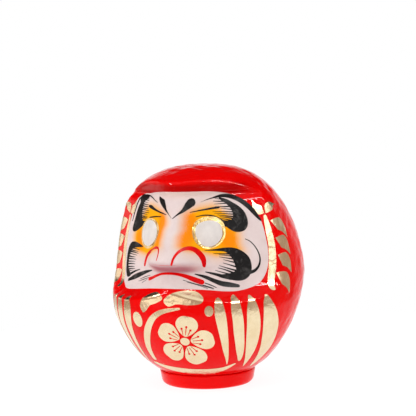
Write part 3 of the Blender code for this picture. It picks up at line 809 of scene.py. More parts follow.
def make_foot():
    """The turned clay foot, a little uneven as thrown clay is."""
    profile = np.array(FOOT_PROFILE) * MM
    turns = np.linspace(0.0, 2.0 * math.pi, FOOT_AROUND, endpoint=False)
    points = []
    for number, (radius, height) in enumerate(profile):
        if radius == 0.0:
            points.append((0.0, BODY_OFFSET, height))
            continue
        wobble = FOOT_WOBBLE * (np.sin(3.0 * turns + number) + np.sin(7.0 * turns + 2.0 * number))
        ring = radius + (wobble if height > 0.0 else 0.0 * wobble)
        level = np.full(FOOT_AROUND, height)
        points.extend(zip(ring * np.sin(turns), BODY_OFFSET - ring * np.cos(turns), level))
    faces = []
    rings = len(profile) - 2
    for ring in range(rings - 1):
        faces += ring_faces(1 + ring * FOOT_AROUND, FOOT_AROUND)
    top = len(points) - 1
    last = 1 + (rings - 1) * FOOT_AROUND
    for step in range(FOOT_AROUND):
        following = (step + 1) % FOOT_AROUND
        faces.append((0, 1 + following, 1 + step))
        faces.append((last + step, last + following, top))
    foot = new_object("lacquered_foot", points, faces, CLAY)
    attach(foot, "root")
    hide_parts("base_weight")
    return foot


# ---- The painted face ----

# How far a hair's tip and middle stray, in degrees and millimetres, and the spread of its width
HAIR_TIP_SHIFTS = ((-2.6, 1.4), (-0.25, 0.25))
HAIR_BEND = (-0.25, 0.45)
HAIR_FULLNESS = (0.75, 1.2)
BROW_HAIR_WIDTHS = (0.4, 1.55)
BEARD_HAIR_WIDTHS = (0.4, 1.7)
BROW_SEED = 20
BEARD_SEED = 30


def comb(tips, roots, count, widths, seed):
    """Uneven brush hairs from a line of tips to a line of roots, as (angle, height, width) strokes."""
    random = np.random.default_rng(seed)
    share = np.linspace(0.0, 1.0, count)
    rails = []
    for line in (tips, roots):
        line = smooth_path(line, HAIR_LINE_STEP)
        along = np.linspace(0.0, 1.0, len(line))
        rails.append(np.stack([np.interp(share, along, line[:, axis]) for axis in (0, 1)], axis=1))
    strokes = []
    for tip, root in zip(*rails):
        tip = tip + [random.uniform(*shift) for shift in HAIR_TIP_SHIFTS]
        middle = 0.5 * (tip + root) + (0.0, random.uniform(*HAIR_BEND))
        thin, thick = np.array(widths) * random.uniform(*HAIR_FULLNESS)
        strokes.append([(*tip, thin), (*middle, 0.5 * (thin + thick)), (*root, thick)])
    return strokes


def hairs(groups, widths, seed):
    """The outlines of all hairs in several groups of (tips, roots, count)."""
    outlines = []
    for number, (tips, roots, count) in enumerate(groups):
        outlines += [stroke(hair) for hair in comb(tips, roots, count, widths, seed + number)]
    return outlines


FACE_EDGE_LEFT = (
    (0, 214.8), (14, 214.7), (27, 214.4), (40, 212.8), (50, 210), (58, 204.5), (64, 196.5), (67.5, 188),
    (69.5, 177), (70.3, 163), (70.4, 149), (69.4, 137), (67, 127), (62.5, 118.5), (56, 114), (46, 111.3),
    (36, 111.4), (24, 113.6), (12, 115.6),
)
FACE_EDGE_RIGHT = (
    (0, 116.8), (-12, 115.5), (-26, 113), (-38, 111), (-49, 110), (-57, 113), (-63, 119), (-66.5, 128),
    (-68, 140), (-68, 155), (-66.5, 170), (-64.5, 183), (-61, 196), (-57.5, 206), (-51, 210.5),
    (-40, 211.8), (-26, 213.6), (-12, 214.6),
)

BROW_LEFT = (
    (36.5, 207.6), (43, 205.7), (48, 202.2), (53, 198), (57, 192.3), (59, 185), (58.8, 178), (56.2, 173),
    (52, 171.2), (47, 172), (42, 176), (38, 181), (37.2, 184.4), (41, 183.8), (45.5, 184.2), (47.3, 188),
    (46.8, 193), (44.5, 198), (41, 202), (37.5, 205),
)
BROW_RIGHT = (
    (-38, 207.8), (-45, 209.6), (-53, 209.8), (-54.5, 206.5), (-51.5, 202), (-53.8, 196), (-56, 189),
    (-58.4, 180), (-59.6, 173), (-57.6, 169.9), (-53, 170.6), (-47, 174), (-40.5, 179), (-37.5, 182.8),
    (-41, 182.6), (-44.6, 184), (-45.4, 190), (-45, 197), (-43.6, 202.5), (-40, 205.6),
)
BROW_ARC_LEFT = (
    (19.5, 203.7), (25, 206.3), (31, 208.3), (38, 210.6), (45, 211.2), (50.5, 209.6), (56, 206.2),
    (61, 201), (65.5, 193.5), (68.6, 184.5), (68.9, 181.2), (66.6, 184), (63.6, 189), (59.5, 195.5),
    (54.5, 201.3), (49.5, 204.8), (44, 207), (38, 207.6), (31, 207), (25, 205.7),
)
BROW_ARC_RIGHT = ((-20, 203.3, 0.5), (-29, 206.6, 0.9), (-38, 208.9, 1.4), (-46, 209.4, 1.8))
BROW_STRIP_RIGHT = (
    (-54.6, 205.5, 2.4), (-56.8, 199.5, 2.2), (-58.4, 193.5, 1.9), (-60.2, 187.5, 1.6), (-61.8, 181, 1),
)
DAB_LEFT = (
    (0.4, 188.2, 0.7), (3.4, 192, 1.6), (6.5, 195.4, 3.8), (9, 199.4, 6.8), (11.4, 202.8, 8.8),
    (12.4, 203.7, 9),
)
DAB_RIGHT = (
    (-0.2, 188.2), (-4, 192.6), (-7.6, 195.6), (-12, 199.5), (-16.5, 204.4), (-20.4, 209), (-15.5, 207.8),
    (-10.8, 206.2), (-8.3, 202), (-6.6, 197.6), (-3.4, 192.8),
)
LID_LEFT = ((11.5, 193.9, 0.6), (20, 195.6, 1.4), (29, 197, 2.1), (35.2, 197.7, 2.2))
CREASE_LEFT = (
    (16, 189.1, 0.7), (22, 190.3, 1.1), (28.5, 189.5, 1.4), (33, 187.2, 1.8), (37, 183.6, 2.8),
    (40.5, 179, 3.6),
)
LID_RIGHT = ((-6, 191.9, 0.8), (-14.5, 193.6, 1.6), (-23, 196, 2.6), (-29, 198, 3.8), (-33, 198.8, 2.6))
CREASE_RIGHT = ((-13, 189.2, 0.8), (-22, 188.4, 1.4), (-30.5, 187, 1.1))
BROW_HAIRS_LEFT = (
    ((34, 206.8), (31, 203.6), (32, 200), (36, 197)),
    ((41.5, 205.6), (45, 202), (47, 198), (48, 194.6)),
    5,
)
LASHES_LEFT = (
    ((29, 193.4), (31.5, 191), (33.5, 188.8), (36, 186.4)),
    ((48.5, 192.2), (49, 189.2), (48.5, 186.2), (46.5, 183.2)),
    5,
)
BROW_HAIRS_RIGHT = (
    ((-35, 206), (-34, 201), (-33, 196), (-33, 190), (-36, 185)),
    ((-45, 206.5), (-47, 200.5), (-48, 195), (-48, 189), (-46.5, 183.5)),
    12,
)
BEARD_LEFT = (
    (22, 154.2), (30, 155), (38, 155.9), (44, 155.5), (49, 153.6), (53.5, 149.8), (56.8, 144.4),
    (58, 138), (57.6, 131), (55.6, 125.4), (52, 121.8), (47.5, 120.8), (42, 122), (36, 124.2),
    (31.5, 126.8), (33.5, 128.4), (40, 129), (45.6, 131.6), (45.4, 137), (44, 143), (41, 148.6),
    (37.5, 151.8), (30, 153.2),
)
BEARD_RIGHT = (
    (-37.5, 155.4), (-45, 158.3), (-53, 159.4), (-58.6, 157.4), (-61.6, 152), (-62.8, 144), (-62.4, 134),
    (-61.2, 126), (-58.2, 120.9), (-55, 121.3), (-53.2, 123.6), (-56, 127), (-58.8, 132), (-59.4, 139),
    (-58.2, 146), (-54.5, 151.6), (-47, 153.8),
)
BEARD_HAIRS_LEFT = (
    ((30.5, 150.6), (34, 147), (35.5, 143), (36, 139), (33, 136), (31, 132.8), (30.5, 130)),
    ((43, 149), (46.5, 144.8), (48, 140.4), (48.4, 136.4), (47.6, 132.6), (44, 129.6), (38, 126.8)),
    9,
)
BEARD_HAIRS_RIGHT = (
    ((-44, 151.8), (-46, 147), (-48, 142), (-48.5, 137), (-47.5, 132), (-50, 127)),
    ((-56, 152), (-60, 146.6), (-61, 140), (-60.6, 134), (-59.4, 129), (-57, 124)),
    12,
)
CHEEK_CURVE_LEFT = (
    (55.5, 163.6, 0.7), (59, 160.7, 0.9), (62, 155.4, 1), (64, 148.6, 1.3), (64.5, 141.6, 1.7),
    (63, 134.8, 2.2), (60, 130.4, 3), (56.5, 128.6, 3.6),
)
WHISKERS_LEFT = (
    ((22.5, 132.1, 1), (29, 129.4, 2.6), (36, 126.2, 3.4), (41, 124, 3.8)),
    ((15.3, 130.6, 1), (22, 127.1, 3.2), (28, 122.8, 4.2), (34, 119.2, 5.4), (40, 117.4, 5.4),
     (46, 115.8, 3.6)),
)
WHISKERS_RIGHT = (
    ((-19.5, 132.9, 1.2), (-27, 130.4, 3.2), (-35, 127.2, 4.6), (-45, 122.8, 5.6), (-54.5, 118, 3.4)),
    ((-39, 131.2, 0.8), (-46, 128.6, 1.8), (-53, 125, 2.8), (-57, 122.4, 3.2)),
)
FAINT_LINES_LEFT = (
    ((8, 125.3, 0.5), (15, 121, 0.6), (22, 117.4, 0.8), (27.5, 114.3, 0.6)),
    ((10.5, 122.9, 0.4), (17, 119.2, 0.5), (23.5, 115.2, 0.6)),
    ((21.8, 120.9, 0.9), (26, 118.2, 1.1), (29.6, 115.6, 0.7)),
    ((20.4, 119, 0.6), (24, 117, 0.8), (27.8, 115, 0.5)),
)
FAINT_LINES_RIGHT = (
    ((-21, 127.6, 0.4), (-29, 124.6, 0.7), (-36.5, 121.2, 0.4)),
    ((-22, 125.2, 0.4), (-31, 121.6, 0.7), (-38, 118.8, 0.4)),
    ((-25, 122.6, 0.4), (-32, 118.2, 0.5)),
)
NOSTRIL_LEFT = (
    (5, 143.3, 2), (5.5, 149, 2.5), (7.5, 154.6, 3.4), (10.4, 157.6, 4.2), (13.6, 158, 5),
    (17, 155.6, 5.6), (20.2, 150.8, 6.2), (22.2, 146.2, 6.6), (23, 142, 6), (22.6, 138.6, 3.4),
)
NOSTRIL_RIGHT = (
    (-31.4, 137.2, 3.8), (-30.2, 143, 4.2), (-27.2, 148.6, 4), (-22, 153.2, 3.4), (-15.5, 156.8, 3),
    (-10.2, 158.8, 3), (-7.2, 158, 2.4), (-6.2, 153.4, 1.6), (-6.5, 147, 0.9),
)
MOUTH = (
    (-22, 123.6, 3.6), (-18, 125.3, 3.3), (-12.5, 128.4, 2.8), (-6.5, 131.2, 2.4), (0, 132.1, 2.6),
    (5, 131.2, 3), (10, 128.7, 4), (15, 125, 5.2), (19.8, 121.9, 5.2),
)

EYE_LEFT = (
    (26, 184.6), (31.5, 183.6), (35.8, 179.4), (37, 173), (36, 166.5), (31.5, 160.2), (25, 157.6),
    (19.8, 160.6), (16.6, 167), (15.2, 174.4), (16.6, 180.4), (20.8, 183.6),
)
EYE_RIGHT = (
    (-29, 184.2), (-23, 183.4), (-18.4, 179), (-16.8, 172.4), (-18, 165.6), (-22, 160.2), (-28.6, 157),
    (-35.4, 158.8), (-39.6, 164.4), (-41, 171.4), (-39.6, 178.2), (-35, 182.8),
)


def rim_outline(eye, left, right, up, down):
    """The eye's outline grown by a few millimetres, unevenly, as a brush would leave it."""
    eye = np.array(eye)
    middle = 0.5 * (eye.min(axis=0) + eye.max(axis=0))
    reach = eye - middle
    size = 0.5 * (eye.max(axis=0) - eye.min(axis=0))
    across = np.where(reach[:, 0] > 0.0, right, left) / (MM_PER_DEGREE * size[0])
    along = np.where(reach[:, 1] > 0.0, up, down) / size[1]
    return middle + reach * np.stack([1.0 + across, 1.0 + along], axis=1)


EYE_RIM_LEFT = rim_outline(EYE_LEFT, 3.0, 4.2, 4.2, 1.9)
EYE_RIM_RIGHT = rim_outline(EYE_RIGHT, 2.2, 4.8, 2.0, 2.6)


def soft_spot(angle, height, centre, radii, edge):
    """One inside an oval spot, fading to zero across its soft edge."""
    reach = np.hypot((angle - centre[0]) / radii[0], (height - centre[1]) / radii[1])
    return 1.0 - smooth_step(reach, 1.0 - edge, 1.0 + edge)


# Side, then the angles of the spray's inner and outer edge; angles and heights of its top and bottom;
# then spots as (angle, height), radii and softness
GLOW_SIDES = ((1.0, 5.0, 50.5), (-1.0, 3.2, 53.0))
GLOW_TOP = ((4, 12, 20, 30, 37, 43, 48), (191, 195, 198.5, 200, 197, 190, 182))
GLOW_BOTTOM = ((5, 22, 30, 52), (159, 150.5, 147, 150))
DEEP_SPOTS = (((10.5, 177.0), (6.0, 22.0), 0.5), ((43.0, 163.0), (7.0, 12.0), 0.6))
# A pinkish painted shade along the top of the face, under the jutting hood
FOREHEAD = ((6.0, 213.5), (34.0, 5.0), 0.8)
NOSE_SHADE_HEIGHTS = ((130.5, 134.5), (138.0, 147.0))
NOSE_SHADE_ANGLES = (9.0, 24.0)
NOSE_SHADE = 0.95
HALO_BLUSH = 0.55
FOREHEAD_PAINTED_SHADE = 0.28


def face_masks(angle, height):
    """Where the face is coloured: sprayed orange, its deepest part and a pale blush round it; a pinkish
    painted shade along the top, under the jutting hood; and mauve under the nose, partly paint and partly
    painted shade.
    """
    glow = np.zeros(angle.shape)
    depth = np.zeros(angle.shape)
    blush_and_shade = np.zeros(angle.shape)
    for side, inner, outer in GLOW_SIDES:
        turn = side * angle + np.sin(height / 5.3 + 2.0 * side) + 0.3 * np.sin(height / 1.9)
        top = np.interp(turn, *GLOW_TOP)
        bottom = np.interp(turn, *GLOW_BOTTOM)
        across = band(turn, (inner - 3.0, inner + 7.5), (outer - 5.5, outer + 6.5))
        along = band(height, (bottom - 3.5, bottom + 5.0), (top - 7.0, top + 6.0))
        glow = np.maximum(glow, across * along)
        for spot in DEEP_SPOTS:
            depth = np.maximum(depth, soft_spot(turn, height, *spot))
        halo = band(turn, (inner - 4.0, inner + 7.0), (outer, outer + 10.0))
        halo = halo * band(height, (bottom - 12.0, bottom), (top + 1.0, top + 12.0))
        blush_and_shade = np.maximum(blush_and_shade, HALO_BLUSH * halo)
    # Painted shade under the hood, added to the sprayed blush.
    blush_and_shade = np.maximum(blush_and_shade, FOREHEAD_PAINTED_SHADE * soft_spot(angle, height, *FOREHEAD))
    # Painted shade under the nose, mixed with the mauve paint there.
    under = band(height, *NOSE_SHADE_HEIGHTS) * (1.0 - smooth_step(np.abs(angle), *NOSE_SHADE_ANGLES))
    return {"glow": glow, "depth": depth, "blush_and_shade": blush_and_shade, "shade": NOSE_SHADE * under}


def make_face():
    """The white panel with its soft colours, then the blank eyes, and the brushwork over both."""
    edge = blob(FACE_EDGE_LEFT + FACE_EDGE_RIGHT, FACE_OUTLINE_STEP)
    face = paint("face_paint", [edge], WHITE, PAINT_LIFT, masks=face_masks, spacing=FACE_SPACING)
    brow = [blob(BROW_LEFT), blob(BROW_ARC_LEFT), blob(BROW_RIGHT)]
    brow += [stroke(BROW_ARC_RIGHT), stroke(BROW_STRIP_RIGHT)]
    brow += hairs((BROW_HAIRS_LEFT, LASHES_LEFT, BROW_HAIRS_RIGHT), BROW_HAIR_WIDTHS, BROW_SEED)
    lines = [stroke(line) for line in (LID_LEFT, CREASE_LEFT, LID_RIGHT, CREASE_RIGHT, DAB_LEFT)]
    lines.append(blob(DAB_RIGHT))
    beard = [blob(BEARD_LEFT), blob(BEARD_RIGHT), stroke(CHEEK_CURVE_LEFT)]
    beard += hairs((BEARD_HAIRS_LEFT, BEARD_HAIRS_RIGHT), BEARD_HAIR_WIDTHS, BEARD_SEED)
    beard += [stroke(line) for line in WHISKERS_LEFT + WHISKERS_RIGHT]
    faint = [stroke(line) for line in FAINT_LINES_LEFT + FAINT_LINES_RIGHT]
    red = [stroke(NOSTRIL_LEFT), stroke(NOSTRIL_RIGHT), stroke(MOUTH)]
    for name, outlines, material, lift in (
        ("brow_ink", brow, INK, STROKE_LIFT),
        ("eyelid_ink", lines, INK, EYELID_LIFT),
        ("beard_ink", beard, INK, STROKE_LIFT),
        ("faint_ink", faint, INK, STROKE_LIFT),
        ("mouth_and_nostrils", red, BRUSH_RED, RED_LIFT),
        ("eye_white_left", [blob(EYE_LEFT)], EYE_WHITE, STROKE_LIFT),
        ("eye_white_right", [blob(EYE_RIGHT)], EYE_WHITE, STROKE_LIFT),
    ):
        layer = paint(name, outlines, material, lift)
    for side, rim, eye in (("left", EYE_RIM_LEFT, EYE_LEFT), ("right", EYE_RIM_RIGHT, EYE_RIGHT)):
        name = f"gold_eye_rim_{side}"
        gold = paint(name, [blob(rim)], RIM_GOLD, RIM_LIFT, holes=[blob(eye)], spacing=RIM_SPACING)
        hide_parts(f"eye_rim_{side}")


# ---- Gold foil on the body ----

# Height, then the angles of the two sides, from the top down
STRIPES_LEFT = (
    ((106, 28.6, 30.2), (103, 27.2, 31.4), (96, 26.8, 32.6), (86, 27.3, 33.8), (70, 29.5, 35.2),
     (50, 33, 37.2), (38, 36.4, 38.6), (32, 38.3, 38.9)),
    ((107.6, 39.2, 40.8), (104, 37.2, 41.8), (96, 36.6, 42.8), (84, 37.6, 44.4), (68, 39.2, 46.2),
     (50, 42.6, 49), (41, 45.4, 50.2), (35, 47.8, 50)),
    ((106.2, 49.4, 50.8), (102, 47.6, 52), (94, 46.7, 54.2), (82, 46.9, 56.2), (64, 48.3, 58.4),
     (48, 50.8, 59.6), (36, 53.8, 59), (27, 56.6, 57.6)),
    ((105.6, 59.6, 61.4), (100, 58.2, 64.4), (90, 58.4, 68.6), (76, 59.2, 72.8), (60, 61.6, 76.4),
     (46, 64.4, 77.6), (34, 66.4, 74.6), (25.5, 67, 69.8)),
)
STRIPES_RIGHT = (
    ((105, -34.2, -32.4), (102, -35.6, -30.4), (94, -37.2, -29.8), (84, -38.2, -30.6), (68, -39.2, -33.2),
     (50, -40.4, -36.2), (38, -40.8, -38.6), (31, -40.9, -40.2)),
    ((104.4, -43.4, -41.6), (100, -45.4, -39.8), (90, -47, -39.8), (76, -48.6, -41.2), (58, -50.2, -44),
     (44, -50.6, -46.8), (34, -50.4, -49)),
    ((104, -51.8, -50), (98, -54.6, -48.6), (86, -57, -49.6), (68, -59.2, -51.6), (50, -60, -54.4),
     (36, -59.4, -57), (28, -58.6, -57.8)),
    ((103.6, -61.8, -60), (98, -65.4, -58.6), (86, -69.6, -59.2), (70, -74, -61.2), (54, -76.6, -63.6),
     (40, -76, -66.4), (27, -70.4, -68)),
)


def banner(rows):
    """A tapering stripe from rows of (height, one side, other side)."""
    down = [(start, height) for height, start, _ in rows]
    up = [(end, height) for height, _, end in reversed(rows)]
    return blob(down + up)


def leaf(start, tip, width, bow=0.0):
    """A bamboo leaf: narrow at the stalk, fullest at a third, running out to a fine tip."""
    start = np.array(start)
    along = np.array(tip) - start
    aside = np.array((-along[1] / MM_PER_DEGREE, along[0] * MM_PER_DEGREE))
    aside = aside / np.hypot(aside[0] * MM_PER_DEGREE, aside[1])
    rows = []
    for share, full in LEAF_SHAPE:
        place = start + along * share + aside * bow * math.sin(math.pi * share)
        rows.append((*place, width * full))
    return stroke(rows)


def turned(shape, centre, turn):
    """A shape in millimetres round a place on the belly, turned and laid on the (angle, height) chart."""
    shape = np.array(shape, float)
    east = shape[:, 0] * math.sin(turn) + shape[:, 1] * math.cos(turn)
    north = shape[:, 0] * math.cos(turn) - shape[:, 1] * math.sin(turn)
    height = centre[1] + north / BELLY_SLOPE
    east_scale = chart_scale(np.radians(np.full(len(shape), centre[0])), height * MM)[0]
    return np.stack([centre[0] + np.degrees(east / east_scale), height], axis=1)


# A leaf's share of its full width at shares of its length, and a round petal from the heart out
LEAF_SHAPE = ((0.0, 0.10), (0.12, 0.55), (0.34, 1.0), (0.6, 0.72), (0.84, 0.30), (1.0, 0.04))
PETAL_SHAPE = (
    (6.4, 0), (8.6, 4.2), (13.2, 8.6), (19.4, 11.7), (25.8, 10.7), (30.2, 6.2), (30.9, 0), (30.2, -6.2),
    (25.8, -10.7), (19.4, -11.7), (13.2, -8.6), (8.6, -4.2),
)
BELLY_SLOPE = 1.09
BLOSSOM_CENTRE = (7.5, 60.5)
BLOSSOM_TILT = math.radians(12)
STAMENS_PER_PETAL = 3
STAMEN_START = 8.6
STAMEN_ENDS = (15.6, 18.0)
STAMEN_WIDTHS = (0.7, 1.1)
STAMEN_LEAN = math.radians(17)
ANTHER_GAP = 0.4
ANTHER_RADII = (1.3, 1.3)
LEAVES_TOP = (
    ((-19, 91), (-20.6, 99), (-17, 108), (-10, 112.4), (-5.6, 110.6), (-4.4, 106), (-8.4, 101.6),
     (-13, 98.6), (-16.4, 92.4)),
    ((-3.4, 104.4), (1, 111.4), (8, 114.4), (15.6, 113), (20.4, 107), (18.6, 101.6), (12, 100.2),
     (5, 101.2), (-0.4, 98.6)),
)
BUDS = (((-24.4, 82.0), (7.0, 8.4)), ((23.6, 93.6), (4.6, 5.6)))
BRANCH = (
    (-26.5, 36.5, 5.4), (-24.6, 50, 7.4), (-19.8, 66, 8.4), (-14.4, 80, 7.4), (-9.4, 88.6, 6),
    (-3, 93.6, 4.6), (6, 96.4, 2.4),
)
BOUGH = (
    (-31, 30.4, 4), (-20, 26.6, 8), (-6, 24.2, 10.4), (10, 22.8, 11.2), (24, 22.8, 11.4), (35, 24.8, 8),
    (41, 27.6, 5.4), (46, 31, 2.4),
)
BAMBOO_STEM = ((72, 186, 3.4), (72.6, 174, 6.4), (73, 154, 7.6), (71.4, 132, 8.2), (67.6, 111, 6))
BAMBOO_LEAVES = (
    ((71.4, 189.6), (64.8, 203), 10.5, 2.2),
    ((72.8, 189.5), (83, 197.4), 9.5, 4),
    ((75.4, 181), (87, 162), 14, 4),
    ((76.4, 162.5), (87, 144), 14.5, 3.6),
    ((76.2, 144.5), (85.5, 125), 15.5, 3.4),
    ((73.6, 126), (82, 104), 15.5, 3.2),
)
BAMBOO_LEAD = {"left": 0.0, "right": 5.5}


def lay_foil(name, outlines, replaced=None, holes=()):
    """A piece of gold foil. It stands for the CAD piece replaced, or the one of its own name."""
    foil = paint(name, outlines, GOLD, FOIL_LIFT, holes=holes, thickness=FOIL_THICKNESS)
    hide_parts(replaced or name)


def make_stripes():
    """The feather-shaped stripes on both sides of the belly."""
    for side, stripes in (("left", STRIPES_LEFT), ("right", STRIPES_RIGHT)):
        for number, rows in enumerate(stripes, 1):
            lay_foil(f"gold_stripe_{side}_{number}", [banner(rows)], f"stripe_{side}_{number}")


def make_plum():
    """The plum spray on the belly: a blossom, two buds, two leaves, a branch and a bough."""
    lay_foil("gold_blossom_heart", [oval(BLOSSOM_CENTRE, (5.0, 5.0))], "blossom_heart")
    for number in range(5):
        turn = BLOSSOM_TILT + number * 2.0 * math.pi / 5.0
        stamens = []
        for step in range(STAMENS_PER_PETAL):
            lean = (step - 0.5 * (STAMENS_PER_PETAL - 1)) * STAMEN_LEAN
            reach = STAMEN_ENDS[step % 2]
            path = turned(((STAMEN_START, 0.0), (reach, 0.0)), BLOSSOM_CENTRE, turn + lean)
            stamens.append(stroke([(*place, width) for place, width in zip(path, STAMEN_WIDTHS)]))
            anther = turned(((reach + ANTHER_GAP, 0.0),), BLOSSOM_CENTRE, turn + lean)[0]
            stamens.append(oval(anther, ANTHER_RADII, around=16))
        petal = turned(PETAL_SHAPE, BLOSSOM_CENTRE, turn)
        lay_foil(f"gold_petal_{number + 1}", [blob(petal)], f"blossom_petal_{number + 1}", stamens)
    for number, (centre, radii) in enumerate(BUDS, 1):
        lay_foil(f"gold_bud_{number}", [oval(centre, radii)], f"plum_bud_{number}")
    for number, outline in enumerate(LEAVES_TOP, 1):
        lay_foil(f"gold_plum_leaf_{number}", [blob(outline)], f"plum_leaf_{number}")
    lay_foil("gold_plum_branch", [stroke(BRANCH)], "plum_branch")
    lay_foil("gold_plum_bough", [stroke(BOUGH)], "plum_bough")


def on_flank(outline, side):
    """An outline drawn for the left flank, moved forward by a flank's lead and mirrored for the right one."""
    moved = outline - (BAMBOO_LEAD[side], 0.0)
    return moved if side == "left" else moved[::-1] * (-1.0, 1.0)


def make_bamboo():
    """A bamboo stem and its leaves on each flank."""
    for side in BAMBOO_LEAD:
        stem = on_flank(stroke(BAMBOO_STEM), side)
        lay_foil(f"gold_bamboo_stem_{side}", [stem], f"bamboo_stem_{side}")
        for number, spray_leaf in enumerate(BAMBOO_LEAVES, 1):
            outline = on_flank(leaf(*spray_leaf), side)
            lay_foil(f"gold_bamboo_leaf_{side}_{number}", [outline], f"bamboo_leaf_{side}_{number}")


# ---- Floor, light and camera ----

FLOOR_RADIUS = 0.42
FLOOR_PLACE = (0.0, 0.10, -0.0001)
FLOOR_LOOK = (
    ("Base Color", (0.16, 0.16, 0.16, 1.0)), ("Roughness", 0.8), ("Specular IOR Level", 0.1),
    ("Emission Color", (1.0, 1.0, 1.0, 1.0)), ("Emission Strength", 0.90),
)
LIGHT_TARGET = Vector((0.0, 0.0, 0.13))
CAMERA_TARGET = Vector((0.0, 0.0014, 0.115))
CAMERA_AZIMUTH = math.radians(22.0)
CAMERA_ELEVATION = math.radians(7.5)
CAMERA_DISTANCE = 1.5
CAMERA_ROLL = math.radians(1.5)
CAMERA_LENS = 118.1
CAMERA_SENSOR = 36.0
CAMERA_CLIP = (0.05, 20.0)
CAMERA_SHIFT = (0.0065, 0.168)
AMBIENT = 0.86
WALL_TURN = math.radians(168)
WALL_FADE = (0.55, 0.92)
WALL_TOP = (0.15, 0.42)
WALL_COLOUR = (1.0, 1.0, 1.0)
CEILING_FADE = (0.46, 0.80)
CEILING_SHARE = 0.90
ROOM_COLOUR = (0.46, 0.34, 0.29)
GLOOM_FADE = (0.1, 0.5)
GLOOM_RISE = (0.10, 0.35)
GLOOM_COLOUR = (0.03, 0.02, 0.02)
LIGHTS = (  # name, azimuth, elevation, distance, size, power, and the only light it shows up in
    ("left_key", -46.0, 32.0, 0.9, (0.34, 0.10), 6.0, "glossy"),
    ("right_key", 64.0, 36.0, 0.9, (0.42, 0.12), 12.0, "glossy"),
    ("left_window", -98.0, 3.0, 1.2, (0.34, 0.34), 0.30, "glossy"),
    ("belly_window", -30.0, -9.0, 1.0, (1.20, 0.20), 0.75, "glossy"),
    ("top_fill", 10.0, 68.0, 1.3, (0.70, 0.70), 1.8, "diffuse"),
    ("front_fill", -38.0, 14.0, 1.5, (0.9, 0.5), 3.6, "diffuse"),
    ("side_panel", 58.0, 14.0, 1.2, (0.30, 0.30), 0.5),
)


def make_floor():
    """A round table top that glows, so that it nearly disappears into the backdrop."""
    builder = bmesh.new()
    bmesh.ops.create_circle(builder, cap_ends=True, cap_tris=False, segments=96, radius=FLOOR_RADIUS)
    mesh = bpy.data.meshes.new("floor")
    builder.to_mesh(mesh)
    builder.free()
    floor = bpy.data.objects.new("floor", mesh)
    floor.location = FLOOR_PLACE
    bpy.context.scene.collection.objects.link(floor)
    material = bpy.data.materials.new("studio_white")
    material.use_nodes = True
    surface = material.node_tree.nodes["Principled BSDF"]
    for key, value in FLOOR_LOOK:
        surface.inputs[key].default_value = value
    mesh.materials.append(material)


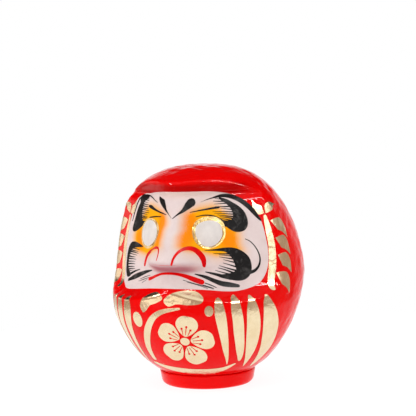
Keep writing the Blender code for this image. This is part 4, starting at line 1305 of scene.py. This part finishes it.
def make_world():
    """White all round, but glossy surfaces see a dim warm room with a bright wall behind and to the right."""
    world = bpy.data.worlds.new("studio")
    world.use_nodes = True
    bpy.context.scene.world = world
    nodes = Nodes(world.node_tree)
    around = nodes.add("ShaderNodeTexCoord").outputs["Generated"]
    ray = nodes.add("ShaderNodeLightPath").outputs

    def fade(heading, edge):
        towards = nodes.add("ShaderNodeVectorMath", {"operation": "DOT_PRODUCT"})
        nodes.set(towards, 0, around)
        nodes.set(towards, 1, heading)
        return nodes.remap(towards.outputs["Value"], *edge, kind="SMOOTHSTEP")

    turn = CAMERA_AZIMUTH + WALL_TURN
    wall = fade((math.sin(turn), -math.cos(turn), 0.0), WALL_FADE)
    low = fade((0.0, 0.0, -1.0), (-WALL_TOP[1], -WALL_TOP[0]))
    above = fade((0.0, 0.0, 1.0), CEILING_FADE)
    beyond = fade((-math.sin(CAMERA_AZIMUTH), math.cos(CAMERA_AZIMUTH), 0.0), GLOOM_FADE)
    raised = fade((0.0, 0.0, 1.0), GLOOM_RISE)
    seen = nodes.mix(nodes.math("MULTIPLY", above, CEILING_SHARE), ROOM_COLOUR, WALL_COLOUR)
    seen = nodes.mix(nodes.math("MULTIPLY", beyond, raised), seen, GLOOM_COLOUR)
    seen = nodes.mix(nodes.math("MULTIPLY", wall, low), seen, WALL_COLOUR)
    colour = nodes.mix(ray["Is Glossy Ray"], (AMBIENT, AMBIENT, AMBIENT), seen)
    colour = nodes.mix(ray["Is Camera Ray"], colour, (1.0, 1.0, 1.0))
    nodes.set(world.node_tree.nodes["Background"], "Color", colour)


def outward(azimuth, elevation):
    """From the doll outwards, with both angles in radians. Azimuth 0 is straight in front of it."""
    level = math.cos(elevation)
    return Vector((math.sin(azimuth) * level, -math.cos(azimuth) * level, math.sin(elevation)))


def area_light(name, azimuth, elevation, distance, size, power, only=None):
    """A soft box that faces the doll, at angles in degrees, with azimuth 90 on the doll's left.

    With only, it shows up in the glossy or the diffuse light alone.
    """
    back = outward(math.radians(azimuth), math.radians(elevation))
    light = bpy.data.lights.new(name, "AREA")
    light.shape = "RECTANGLE"
    light.size, light.size_y = size
    light.energy = power
    item = bpy.data.objects.new(name, light)
    item.location = LIGHT_TARGET + back * distance
    item.rotation_euler = back.to_track_quat("Z", "Y").to_euler()
    if only == "glossy":
        item.visible_diffuse = False
    if only == "diffuse":
        item.visible_glossy = False
    bpy.context.scene.collection.objects.link(item)


def make_camera():
    """The camera stands a little to the doll's left and above, with a slight roll."""
    camera = bpy.data.cameras.new("camera")
    camera.lens = CAMERA_LENS
    camera.sensor_width = CAMERA_SENSOR
    camera.shift_x, camera.shift_y = CAMERA_SHIFT
    camera.clip_start, camera.clip_end = CAMERA_CLIP
    item = bpy.data.objects.new("camera", camera)
    back = outward(CAMERA_AZIMUTH, CAMERA_ELEVATION)
    item.location = CAMERA_TARGET + back * CAMERA_DISTANCE
    item.rotation_mode = "QUATERNION"
    level = (-back).to_track_quat("-Z", "Y")
    item.rotation_quaternion = level @ Euler((0.0, 0.0, -CAMERA_ROLL)).to_quaternion()
    bpy.context.scene.collection.objects.link(item)
    bpy.context.scene.camera = item


make_camera()
make_floor()
make_world()
for light in LIGHTS:
    area_light(*light)
make_body()
make_foot()
make_face()
make_stripes()
make_plum()
make_bamboo()

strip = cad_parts["seam_strip"]
strip.data.materials.clear()
strip.data.materials.append(JOINT_PAPER)
bpy.context.scene.view_settings.view_transform = "Standard"
